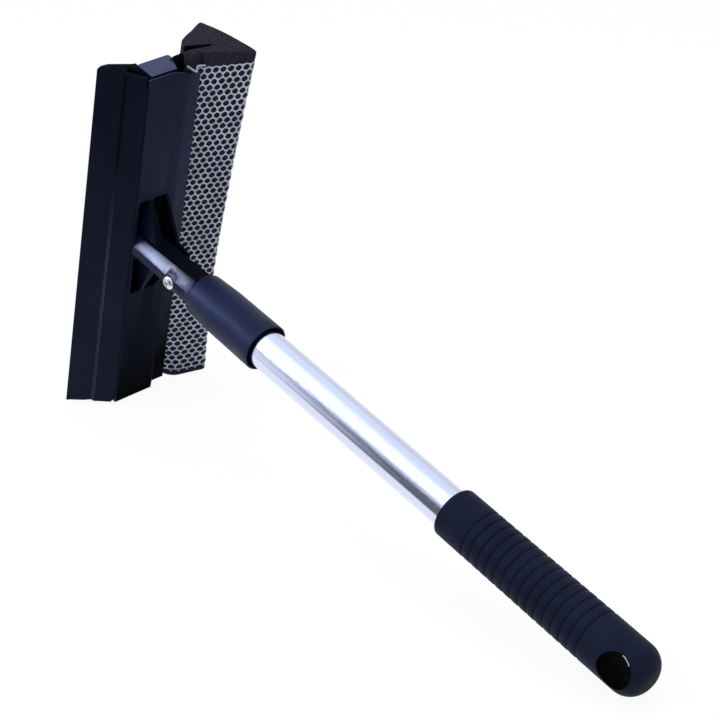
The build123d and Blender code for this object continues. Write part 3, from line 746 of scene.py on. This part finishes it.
def grip_sleeve():
    """Soft moulded sleeve with rounded grooves, a bullet end and a hanging hole, with painted shade in the hole
    and the grooves and a painted glint on the hole's rim.
    """
    lead = GROOVE_FIRST - GROOVE_LEAD
    corners = [(GRIP_BORE, GRIP_BLIND), (GRIP_BORE, GRIP_FRONT), (GRIP_FRONT_RADIUS, GRIP_FRONT),
               (grip_radius(lead), lead)]
    outline = rounded(corners, [0, GRIP_MOUTH_ROUND, GRIP_SHOULDER_ROUND, 0])
    outline.insert(0, Vector((0, GRIP_BLIND)))
    for number in range(GROOVE_COUNT):
        middle = GROOVE_FIRST + number * GROOVE_PITCH
        for k in range(GROOVE_STEPS + 1):
            offset = GROOVE_WIDTH * (k / GROOVE_STEPS - 0.5)
            depth = GROOVE_DEPTH * (0.5 + 0.5 * cos(2 * pi * offset / GROOVE_WIDTH))
            outline.append(Vector((grip_radius(middle + offset) - depth, middle + offset)))
    start = GRIP_TIP - GRIP_TIP_ROUND
    for k in range(GRIP_TIP_STEPS + 1):
        turn = pi / 2 * k / GRIP_TIP_STEPS
        radius = GRIP_REAR_RADIUS - GRIP_TIP_ROUND + GRIP_TIP_ROUND * cos(turn)
        outline.append(Vector((radius, start + GRIP_TIP_ROUND * sin(turn))))
    outline.append(Vector((0, GRIP_TIP)))
    thing = cut(placed("grip_sleeve", lathe(outline)), hole_cutter())
    back = TOOL.inverted()
    axis, lateral = hole_ways()
    for face in thing.data.polygons:
        spot = back @ face.center
        offset = spot + Vector((0, HOLE_STATION, 0))
        reach = (offset - axis * offset.dot(axis)).length - HOLE_RADIUS
        turn = degrees(atan2(offset.dot(lateral), -offset.y))
        bright = HOLE_PAINTED_GLINT_ARC[0] < turn < HOLE_PAINTED_GLINT_ARC[1] and offset.dot(axis) < 0
        depth = grip_radius(-spot.y) - sqrt(spot.x ** 2 + spot.z ** 2)
        # Painted shade in the hole and on its rim, a painted glint on an arc of the rim, and painted shade in the
        # grooves
        if reach < HOLE_RIM:
            face.material_index = 2 if bright and reach > HOLE_WALL else 1
        elif -spot.y < start and GROOVE_DEPTH / 3 < depth < 2 * GROOVE_DEPTH:
            face.material_index = 3
    return thing


def lock_collar():
    """Twist collar with a round shoulder and a rolled lip."""
    outline = rounded(COLLAR_SECTION, COLLAR_RADII, COLLAR_ROUND_STEPS)
    return placed("lock_collar", lathe(divided(outline, COLLAR_STEP)))


# Screws

def cross_outline(half, reach):
    """Outline of a cross with arms of a half width and a reach."""
    r = max(reach, half * 1.01)
    return [(half, half), (half, r), (-half, r), (-half, half), (-r, half), (-r, -half),
            (-half, -half), (-half, -r), (half, -r), (half, -half), (r, -half), (r, half)]


def screw(name, outline, places, half, reach, depth):
    """Screws with a cross recess that narrows downwards; their places are matrices."""
    solid, cutter = bmesh.new(), bmesh.new()
    turns = [2 * pi * k / SCREW_SIDES for k in range(SCREW_SIDES)]
    recess = ((-0.5, half, reach), (depth * 0.5, half * 0.85, reach * 0.8), (depth, half * 0.5, half * 0.9))
    for place in places:
        skinned(solid, [[place @ Vector((radius * cos(t), radius * sin(t), -below)) for t in turns]
                        for radius, below in outline])
        skinned(cutter, [[place @ Vector((x, y, -below)) for x, y in cross_outline(width, arm)]
                         for below, width, arm in recess])
    return cut(placed(name, solid), placed(name + "_cutter", cutter))


def neck_bolt():
    """Pan-head screw through the neck."""
    turn = Matrix.Rotation(radians(-90), 4, "Y") @ Matrix.Rotation(radians(NECK_SCREW_TURN), 4, "Z")
    place = Matrix.Translation((NECK_SCREW_TOP, -NECK_SCREW_STATION, 0)) @ turn
    return screw("neck_bolt", NECK_SCREW_OUTLINE, [place], *NECK_SCREW_CROSS)


def back_screws():
    """Four flush screws in the back of the head."""
    places = []
    for number, z in enumerate(JOINT_SCREW_HEIGHTS):
        own = radians(JOINT_SCREW_FIRST_TURN + JOINT_SCREW_NEXT_TURN * number)
        turn = Matrix.Rotation(radians(-90), 4, "X") @ Matrix.Rotation(own, 4, "Z")
        places.append(Matrix.Translation((JOINT_SCREW_X, FRAME_BACK, z)) @ turn)
    return screw("back_screws", JOINT_SCREW_OUTLINE, places, *JOINT_SCREW_CROSS)


# Materials, with sizes in metres and colours as on a screen, with channels up to 255

# Grain of moulded plastic, as the size and depth of its bumps
FINE_GRAIN = (0.0006, 0.000016)
INNER_GRAIN = (0.0008, 0.00001)
COLLAR_GRAIN = (0.0005, 0.00002)
GRIP_GRAIN = (0.0005, 0.00003)
END_GRAIN = (0.0009, 0.00003)
DEEP_GRAIN = (0.0011, 0.00003)
NECK_GRAIN = (0.0011, 0.00004)

# Fades of painted shade and light, as two places along a way with the share at the first: the head and its jaw
# darker towards the bottom, the rubber and its step lighter towards the bottom, and the neck's upper slope darker
# towards the sponge
HEAD_PAINTED_SHADE = (0.0, 0.13, 0.08)
JAW_PAINTED_SHADE = (0.0165, 0.113, 0.03)
RUBBER_PAINTED_LIGHT = (0.02, 0.2, 1.5)
STEP_PAINTED_LIGHT = (0.1, 0.15, 6.2)
NECK_PAINTED_SHADE = (-0.0158, -0.0187, 0.12, "X")

COOL_TINT = (205, 212, 255)
COLLAR_TINT = (160, 182, 255)
RUBBER_TINT = (190, 205, 255)


def linear(red, green, blue):
    """Colour of a screen as linear light."""
    def channel(value):
        share = value / 255
        return share / 12.92 if share <= 0.04045 else ((share + 0.055) / 1.055) ** 2.4
    return channel(red), channel(green), channel(blue), 1.0


class Finish:
    """Node material with a mottled colour, an uneven gloss and layered bumps."""

    def __init__(self, name, metallic=0.0, specular=0.5, tint=None):
        self.material = bpy.data.materials.new(name)
        self.material.use_nodes = True
        self.tree = self.material.node_tree
        self.shader = self.tree.nodes["Principled BSDF"]
        self.shader.inputs["Metallic"].default_value = metallic
        self.shader.inputs["Specular IOR Level"].default_value = specular
        if tint:
            self.shader.inputs["Specular Tint"].default_value = linear(*tint)
        self.place = self.add("ShaderNodeTexCoord").outputs["Object"]
        self.bump = None

    def add(self, kind):
        return self.tree.nodes.new(kind)

    def link(self, source, target):
        self.tree.links.new(source, target)

    def stretched(self, scale, turn):
        """Object coordinates turned and scaled."""
        node = self.add("ShaderNodeMapping")
        node.vector_type = "TEXTURE"
        node.inputs["Rotation"].default_value = turn
        node.inputs["Scale"].default_value = scale
        self.link(self.place, node.inputs["Vector"])
        return node.outputs["Vector"]

    def noise(self, size, detail, place=None):
        """Noise whose features are about size metres across."""
        node = self.add("ShaderNodeTexNoise")
        node.inputs["Scale"].default_value = 1 / size
        node.inputs["Detail"].default_value = detail
        node.inputs["Roughness"].default_value = 0.55
        self.link(place or self.place, node.inputs["Vector"])
        return node.outputs["Fac"]

    def cells(self, size):
        """Cell pattern whose cells are about size metres across."""
        node = self.add("ShaderNodeTexVoronoi")
        node.feature = "F1"
        node.inputs["Scale"].default_value = 1 / size
        self.link(self.place, node.inputs["Vector"])
        return node.outputs["Distance"]

    def spread(self, source, low, high, start=0.3, end=0.7):
        """Value mapped to a range."""
        node = self.add("ShaderNodeMapRange")
        node.inputs["From Min"].default_value = start
        node.inputs["From Max"].default_value = end
        node.inputs["To Min"].default_value = low
        node.inputs["To Max"].default_value = high
        self.link(source, node.inputs["Value"])
        return node.outputs["Result"]

    def colour(self, source, low, high, start=0.35, end=0.65):
        """Base colour between two colours."""
        node = self.add("ShaderNodeValToRGB")
        node.color_ramp.elements[0].position = start
        node.color_ramp.elements[0].color = linear(*low)
        node.color_ramp.elements[1].position = end
        node.color_ramp.elements[1].color = linear(*high)
        self.link(source, node.inputs["Fac"])
        self.link(node.outputs["Color"], self.shader.inputs["Base Color"])

    def gloss(self, source, low, high):
        """Roughness between two values."""
        self.link(self.spread(source, low, high), self.shader.inputs["Roughness"])

    def painted_gradient(self, low, high, share, way="Z"):
        """Paint a gradient of shade, or of light where the share is above 1: scale the colour and the shine by a
        share at one place along a way, and by 1 at another.
        """
        parts = self.add("ShaderNodeSeparateXYZ")
        self.link(self.place, parts.inputs["Vector"])
        level = self.spread(parts.outputs[way], share, 1.0, low, high)
        colour = self.shader.inputs["Base Color"]
        mix = self.add("ShaderNodeVectorMath")
        mix.operation = "SCALE"
        self.link(colour.links[0].from_socket, mix.inputs["Vector"])
        self.link(level, mix.inputs["Scale"])
        self.link(mix.outputs["Vector"], colour)
        for name in ("Specular IOR Level", "Coat Weight"):
            shine = self.add("ShaderNodeMath")
            shine.operation = "MULTIPLY"
            shine.inputs[1].default_value = self.shader.inputs[name].default_value
            self.link(level, shine.inputs[0])
            self.link(shine.outputs["Value"], self.shader.inputs[name])

    def relief(self, source, depth):
        """One more layer of bumps, depth in metres."""
        node = self.add("ShaderNodeBump")
        node.inputs["Strength"].default_value = 1.0
        node.inputs["Distance"].default_value = depth
        self.link(source, node.inputs["Height"])
        if self.bump:
            self.link(self.bump, node.inputs["Normal"])
        self.bump = node.outputs["Normal"]
        self.link(self.bump, self.shader.inputs["Normal"])


def black_plastic(name, low, high, rough, specular, grain=FINE_GRAIN, tint=COOL_TINT, coat=0.0, fade=None):
    """Moulded black plastic with a fine sparked grain; a fade, when given, paints a gradient of shade or light
    along a way.
    """
    finish = Finish(name, specular=specular, tint=tint)
    finish.shader.inputs["Coat Weight"].default_value = coat
    finish.shader.inputs["Coat Roughness"].default_value = rough
    finish.colour(finish.noise(0.02, 4), low, high)
    finish.gloss(finish.noise(0.006, 4), rough - 0.05, rough + 0.07)
    size, depth = grain
    finish.relief(finish.noise(size, 2), depth)
    finish.relief(finish.noise(0.03, 2), 0.00006)
    if fade:
        finish.painted_gradient(*fade)
    return finish.material


def rubber_finish(name, low, high, specular, fade):
    """Smooth black rubber with a faint bloom, and painted light that grows towards the bottom along its fade."""
    finish = Finish(name, specular=specular, tint=RUBBER_TINT)
    finish.colour(finish.noise(0.03, 5), low, high)
    finish.gloss(finish.noise(0.012, 4), 0.42, 0.56)
    finish.relief(finish.noise(0.0007, 2), 0.000012)
    finish.painted_gradient(*fade)
    return finish.material


def foam_finish():
    """Open-celled dark foam."""
    finish = Finish("foam_finish", specular=0.12)
    finish.colour(finish.cells(0.0009), (21, 22, 31), (38, 39, 48), 0.15, 0.6)
    finish.shader.inputs["Roughness"].default_value = 0.95
    finish.relief(finish.cells(0.0009), 0.00045)
    finish.relief(finish.noise(0.0035, 3), 0.0004)
    return finish.material


def thread_finish():
    """Pale knitted thread."""
    finish = Finish("net_thread_finish", specular=0.3)
    finish.colour(finish.noise(0.008, 3), (150, 154, 172), (178, 182, 200))
    finish.shader.inputs["Roughness"].default_value = 0.6
    finish.relief(finish.noise(0.00035, 2), 0.00012)
    return finish.material


def tube_finish():
    """Bright drawn tube with faint lengthwise lines."""
    finish = Finish("tube_finish", metallic=1.0)
    tilt = atan2(TOOL[2][1], TOOL[1][1])
    lines = finish.stretched((0.0006, 0.06, 0.0006), (tilt, 0, 0))
    finish.colour(finish.noise(1.0, 2, lines), (216, 222, 248), (226, 232, 252))
    finish.gloss(finish.noise(1.0, 3, lines), 0.15, 0.2)
    finish.relief(finish.noise(1.0, 2, lines), 0.0000008)
    return finish.material


def steel_finish():
    """Bright zinc-plated steel."""
    finish = Finish("screw_steel_finish", metallic=1.0)
    finish.colour(finish.noise(0.0015, 3), (205, 207, 214), (236, 237, 240))
    finish.gloss(finish.noise(0.0006, 3), 0.2, 0.34)
    finish.relief(finish.noise(0.0004, 2), 0.000012)
    return finish.material


def dressed(thing, *materials):
    """Give an object its materials; zones of its faces point at the later ones."""
    marks = [face.material_index for face in thing.data.polygons]
    thing.data.materials.clear()
    for material in materials:
        thing.data.materials.append(material)
    thing.data.polygons.foreach_set("material_index", marks)


FINISHES = {
    # The head's plastic is darker towards the bottom: painted shade.
    "head_plastic": black_plastic("head_plastic_finish", (13, 19, 40), (16, 22, 46), 0.42, 0.06,
                                  fade=HEAD_PAINTED_SHADE),
    "frame_plastic": black_plastic("frame_plastic_finish", (12, 16, 32), (15, 19, 38), 0.45, 0.06),
    # The rubber is lighter towards the bottom: painted light.
    "blade_rubber": rubber_finish("blade_rubber_finish", (12, 16, 28), (15, 19, 33), 0.045, RUBBER_PAINTED_LIGHT),
    "sponge_foam": foam_finish(),
    "net_thread": thread_finish(),
    "screw_steel": steel_finish(),
    "tube_metal": tube_finish(),
    "inner_plastic": black_plastic("inner_plastic_finish", (34, 35, 40), (42, 43, 48), 0.5, 0.25,
                                   INNER_GRAIN),
    "collar_plastic": black_plastic("collar_plastic_finish", (15, 20, 40), (19, 24, 48), 0.48, 0.36,
                                    COLLAR_GRAIN, COLLAR_TINT),
    "grip_plastic": black_plastic("grip_plastic_finish", (17, 22, 38), (21, 27, 45), 0.56, 0.07, GRIP_GRAIN),
}

# Materials of zones, which paint light and shade on them
# Painted highlight on the rear shell's ends: a lighter, glossier copy of its plastic.
REAR_END_PAINTED_HIGHLIGHT = black_plastic("head_end_painted_highlight", (37, 41, 71), (47, 51, 83), 0.45, 0.5, END_GRAIN)
# Near jaw's front painted lighter than the plate, with painted shade towards the bottom.
JAW_PAINTED_LIGHT_AND_SHADE = black_plastic("jaw_painted_light_and_shade", (16, 23, 46), (20, 27, 53), 0.4, 0.11, fade=JAW_PAINTED_SHADE)
# Painted highlight on the plate's ends, its left edge and the neck's lower slope.
PLATE_PAINTED_HIGHLIGHT = black_plastic("plate_painted_highlight", (24, 28, 48), (30, 34, 56), 0.45, 0.3, END_GRAIN)
# Painted shade on the neck and its ribs.
DEEP_PAINTED_SHADE = black_plastic("deep_painted_shade", (5, 7, 13), (7, 9, 17), 0.5, 0.04, DEEP_GRAIN)
# Glossy neck's upper slope, with a painted highlight in its lighter colour and painted shade towards the sponge.
GLARE_GLOSS_AND_PAINTED_HIGHLIGHT = black_plastic("glare_gloss_and_painted_highlight", (32, 34, 56), (40, 42, 66), 0.31, 1.0, NECK_GRAIN, coat=0.3,
                             fade=NECK_PAINTED_SHADE)
# The same slope behind the screw, glossy, with a dimmer painted highlight and painted shade towards the sponge.
DIM_GLOSS_AND_PAINTED_HIGHLIGHT = black_plastic("dim_gloss_and_painted_highlight", (22, 25, 46), (28, 31, 54), 0.34, 1.0, NECK_GRAIN, coat=0.12,
                           fade=NECK_PAINTED_SHADE)
# Painted highlight on the side of the boss at the screw.
BOSS_PAINTED_HIGHLIGHT = black_plastic("boss_painted_highlight", (84, 88, 124), (96, 100, 138), 0.4, 0.5, NECK_GRAIN)
# Painted shade on the rubber's ends.
RUBBER_END_PAINTED_SHADE = rubber_finish("rubber_end_painted_shade", (5, 7, 14), (8, 10, 18), 0.02, RUBBER_PAINTED_LIGHT)
# Painted shade on the rubber's step, turning to a painted highlight towards the bottom.
STEP_PAINTED_SHADE_AND_HIGHLIGHT = rubber_finish("rubber_step_painted_shade_and_highlight", (5, 8, 14), (7, 10, 17), 0.02, STEP_PAINTED_LIGHT)
# Painted shade in the grip's grooves.
GROOVE_PAINTED_SHADE = black_plastic("groove_painted_shade", (13, 18, 32), (17, 22, 38), 0.6, 0.04, GRIP_GRAIN)
# Painted shade in the hanging hole and in the sponge's slit and hollow.
HOLE_PAINTED_SHADE = black_plastic("hole_painted_shade", (2, 3, 5), (3, 4, 6), 0.6, 0.03)
# Painted glint on the hanging hole's rim.
PAINTED_GLINT = black_plastic("hole_rim_painted_glint", (150, 150, 164), (170, 170, 184), 0.26, 0.8)


# Pieces on their bodies

def fitted(thing, body, slot, *stands_for, zones=()):
    """Dress a piece, put it on its body and let it stand for solids."""
    dressed(thing, FINISHES[slot], *zones)
    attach(thing, body)
    if stands_for:
        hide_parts(*stands_for)
    return thing


for entry in frame["record"]["subparts"]:
    dressed(nodes[entry["node"]], FINISHES[entry["material_slot"]])

# Zones of painted light and shade on the plate and on the rubber
PLATE_ZONES = {is_end: PLATE_PAINTED_HIGHLIGHT, is_deep: DEEP_PAINTED_SHADE, is_jaw: JAW_PAINTED_LIGHT_AND_SHADE, is_edge: PLATE_PAINTED_HIGHLIGHT,
               is_glare: GLARE_GLOSS_AND_PAINTED_HIGHLIGHT, is_dim: DIM_GLOSS_AND_PAINTED_HIGHLIGHT, is_boss: BOSS_PAINTED_HIGHLIGHT}
RUBBER_ZONES = {is_end: RUBBER_END_PAINTED_SHADE, is_step: STEP_PAINTED_SHADE_AND_HIGHLIGHT}
fitted(softened("head_shell", "front_plate", SHELL_ROUND, PLATE_ZONES, plate_shape), "head", "head_plastic",
       "front_plate", zones=PLATE_ZONES.values())
fitted(softened("rear_shell", "back_frame", SHELL_ROUND, (is_end,)), "head", "frame_plastic", "back_frame",
       zones=(REAR_END_PAINTED_HIGHLIGHT,))
fitted(softened("rubber_wedge", "blade_rubber", RUBBER_ROUND, RUBBER_ZONES, rubber_shape), "head",
       "blade_rubber", "blade_rubber", zones=RUBBER_ZONES.values())
# The sponge's slit walls and pinched hollow get painted shade.
foam = fitted(foam_bar(), "head", "sponge_foam", "sponge", zones=(HOLE_PAINTED_SHADE,))
net = fitted(hex_net(), "head", "net_thread", "sponge_net")
threads = fitted(loose_threads(), "head", "net_thread")
fitted(neck_bolt(), "head", "screw_steel", "neck_screw")
fitted(back_screws(), "head", "screw_steel", "head_screws")
fitted(lock_collar(), "collar", "collar_plastic", "twist_collar")
# The grip's hole and grooves get painted shade, and its hole's rim a painted glint.
fitted(grip_sleeve(), "handle", "grip_plastic", "grip", zones=(HOLE_PAINTED_SHADE, PAINTED_GLINT, GROOVE_PAINTED_SHADE))


# Stage, camera and light, in metres in the row frame

FLOOR_HEIGHT = -0.0015
FLOOR_SIZE = 8.0
FLOOR_COLOUR = (0.9, 0.9, 0.9, 1)
FLOOR_WHITE = 0.93
AMBIENT_COLOUR = (0.94, 0.96, 1.0, 1)
AMBIENT_STRENGTH = 0.55
GLOW_COLOUR = (0.9, 0.95, 1.05, 1)

# Screens that show in reflections, with fades as a way and two places along it
TOP_CARD = [(-1.6, -0.4, 1.3), (1.6, -0.4, 1.3), (1.6, 1.3, 1.3), (-1.6, 1.3, 1.3)]
TOP_CARD_FADE = ((1.0, 0.0, 0.0), -0.1, 0.42)
LEFT_CARD = [(-1.18, 0.42, 0.55), (-0.67, 1.04, 0.55), (-0.82, 1.22, 1.05), (-1.33, 0.6, 1.05)]
DARK_GREY = 0.13
DARK_FADE = ((0.44, 1.0, 0.0), 0.02, 0.165)
FLAG_FADE = ((0.0, 0.0, 1.0), 0.26, 0.6)
LEFT_FLAG = [(-0.62, -0.6, 0.0), (-0.62, 0.46, 0.0), (-0.62, 0.46, 0.6), (-0.62, -0.6, 0.6)]
FLOOR_CLOTH = [(-0.62, -0.35, 0.001), (0.02, -0.35, 0.001), (-0.304, 0.46, 0.001), (-0.62, 0.46, 0.001)]

# Camera, placed in the tool frame
CAMERA_PLACE = (-638.8, -721.4, 733.8)
CAMERA_RIGHT = (0.7414, -0.6546, 0.1477)
CAMERA_UP = (0.338, 0.5544, 0.7605)
CAMERA_SENSOR = 36.0
CAMERA_LENS = 120.0
CAMERA_CLIP = 0.01


def seen_share(tree, share):
    """Share for camera, mirror and glass rays, and none for other rays."""
    path = tree.nodes.new("ShaderNodeLightPath")
    total = path.outputs["Is Camera Ray"]
    for name in ("Is Glossy Ray", "Is Transmission Ray"):
        most = tree.nodes.new("ShaderNodeMath")
        most.operation = "MAXIMUM"
        tree.links.new(total, most.inputs[0])
        tree.links.new(path.outputs[name], most.inputs[1])
        total = most.outputs["Value"]
    scaled = tree.nodes.new("ShaderNodeMath")
    scaled.operation = "MULTIPLY"
    scaled.inputs[1].default_value = share
    tree.links.new(total, scaled.inputs[0])
    return scaled.outputs["Value"]


def floor():
    """Pale floor that looks white and keeps the object's shadow."""
    bm = bmesh.new()
    bmesh.ops.create_grid(bm, x_segments=1, y_segments=1, size=FLOOR_SIZE)
    mesh = bpy.data.meshes.new("floor")
    bm.to_mesh(mesh)
    bm.free()
    thing = bpy.data.objects.new("floor", mesh)
    thing.location.z = FLOOR_HEIGHT
    bpy.context.scene.collection.objects.link(thing)
    material = bpy.data.materials.new("floor_finish")
    material.use_nodes = True
    tree = material.node_tree
    tree.nodes.clear()
    plain = tree.nodes.new("ShaderNodeBsdfDiffuse")
    plain.inputs["Color"].default_value = FLOOR_COLOUR
    white = tree.nodes.new("ShaderNodeEmission")
    white.inputs["Strength"].default_value = 1.0
    mix = tree.nodes.new("ShaderNodeMixShader")
    out = tree.nodes.new("ShaderNodeOutputMaterial")
    tree.links.new(seen_share(tree, FLOOR_WHITE), mix.inputs["Fac"])
    tree.links.new(plain.outputs["BSDF"], mix.inputs[1])
    tree.links.new(white.outputs["Emission"], mix.inputs[2])
    tree.links.new(mix.outputs["Shader"], out.inputs["Surface"])
    mesh.materials.append(material)


def world_light():
    """White surroundings to the eye, and an even soft light on the object."""
    world = bpy.data.worlds.new("studio")
    bpy.context.scene.world = world
    world.use_nodes = True
    tree = world.node_tree
    tree.nodes.clear()
    ambient = tree.nodes.new("ShaderNodeBackground")
    ambient.inputs["Color"].default_value = AMBIENT_COLOUR
    ambient.inputs["Strength"].default_value = AMBIENT_STRENGTH
    white = tree.nodes.new("ShaderNodeBackground")
    white.inputs["Strength"].default_value = 1.0
    mix = tree.nodes.new("ShaderNodeMixShader")
    out = tree.nodes.new("ShaderNodeOutputWorld")
    tree.links.new(seen_share(tree, 1.0), mix.inputs["Fac"])
    tree.links.new(ambient.outputs["Background"], mix.inputs[1])
    tree.links.new(white.outputs["Background"], mix.inputs[2])
    tree.links.new(mix.outputs["Shader"], out.inputs["Surface"])


def softbox(name, place, aim, size, power):
    """Square soft lamp that doesn't show in reflections."""
    lamp = bpy.data.lights.new(name, "AREA")
    lamp.shape = "RECTANGLE"
    lamp.size = size
    lamp.size_y = size
    lamp.energy = power
    thing = bpy.data.objects.new(name, lamp)
    thing.location = place
    thing.rotation_euler = (Vector(aim) - Vector(place)).to_track_quat("-Z", "Y").to_euler()
    thing.visible_glossy = False
    bpy.context.scene.collection.objects.link(thing)


def screen(name, corners, strength, *fades):
    """Flat studio screen that only shows in reflections; each fade is a way along which it turns white."""
    mesh = bpy.data.meshes.new(name)
    mesh.from_pydata(corners, [], [range(len(corners))])
    thing = bpy.data.objects.new(name, mesh)
    bpy.context.scene.collection.objects.link(thing)
    material = bpy.data.materials.new(name + "_cloth")
    material.use_nodes = True
    material.cycles.emission_sampling = "NONE"
    tree = material.node_tree
    tree.nodes.clear()
    place = tree.nodes.new("ShaderNodeTexCoord").outputs["Object"]
    glow = tree.nodes.new("ShaderNodeEmission")
    glow.inputs["Color"].default_value = GLOW_COLOUR
    glow.inputs["Strength"].default_value = strength
    level = None
    for way, low, high in fades:
        along = tree.nodes.new("ShaderNodeVectorMath")
        along.operation = "DOT_PRODUCT"
        along.inputs[1].default_value = way
        tree.links.new(place, along.inputs[0])
        fade = tree.nodes.new("ShaderNodeMapRange")
        fade.inputs["From Min"].default_value = low
        fade.inputs["From Max"].default_value = high
        fade.inputs["To Min"].default_value = strength
        tree.links.new(along.outputs["Value"], fade.inputs["Value"])
        if level:
            most = tree.nodes.new("ShaderNodeMath")
            most.operation = "MAXIMUM"
            tree.links.new(level, most.inputs[0])
            tree.links.new(fade.outputs["Result"], most.inputs[1])
            level = most.outputs["Value"]
        else:
            level = fade.outputs["Result"]
    if level:
        tree.links.new(level, glow.inputs["Strength"])
    out = tree.nodes.new("ShaderNodeOutputMaterial")
    tree.links.new(glow.outputs["Emission"], out.inputs["Surface"])
    mesh.materials.append(material)
    thing.visible_camera = False
    thing.visible_diffuse = False
    thing.visible_shadow = False


def photo_camera():
    """Camera at the photograph's angle."""
    camera = bpy.data.cameras.new("camera")
    camera.sensor_width = CAMERA_SENSOR
    camera.lens = CAMERA_LENS
    camera.clip_start = CAMERA_CLIP
    thing = bpy.data.objects.new("camera", camera)
    right = Vector(CAMERA_RIGHT)
    back = right.cross(Vector(CAMERA_UP)).normalized()
    up = back.cross(right).normalized()
    turn = TOOL.to_3x3().normalized() @ Matrix((right.normalized(), up, back)).transposed()
    thing.matrix_world = Matrix.Translation(TOOL @ Vector(CAMERA_PLACE)) @ turn.to_4x4()
    bpy.context.scene.collection.objects.link(thing)
    bpy.context.scene.camera = thing


floor()
world_light()
photo_camera()
softbox("top_softbox", place=(0.1, -0.2, 1.3), aim=(0, 0, 0.05), size=1.4, power=13.0)
softbox("left_softbox", place=(-0.62, 0.55, 0.54), aim=(0, 0.12, 0.1), size=0.5, power=4.2)
screen("top_card", TOP_CARD, 1.5, TOP_CARD_FADE)
screen("left_card", LEFT_CARD, 18.0)
screen("left_flag", LEFT_FLAG, DARK_GREY, DARK_FADE, FLAG_FADE)
screen("floor_cloth", FLOOR_CLOTH, DARK_GREY, DARK_FADE)
bpy.context.scene.view_settings.view_transform = "Standard"
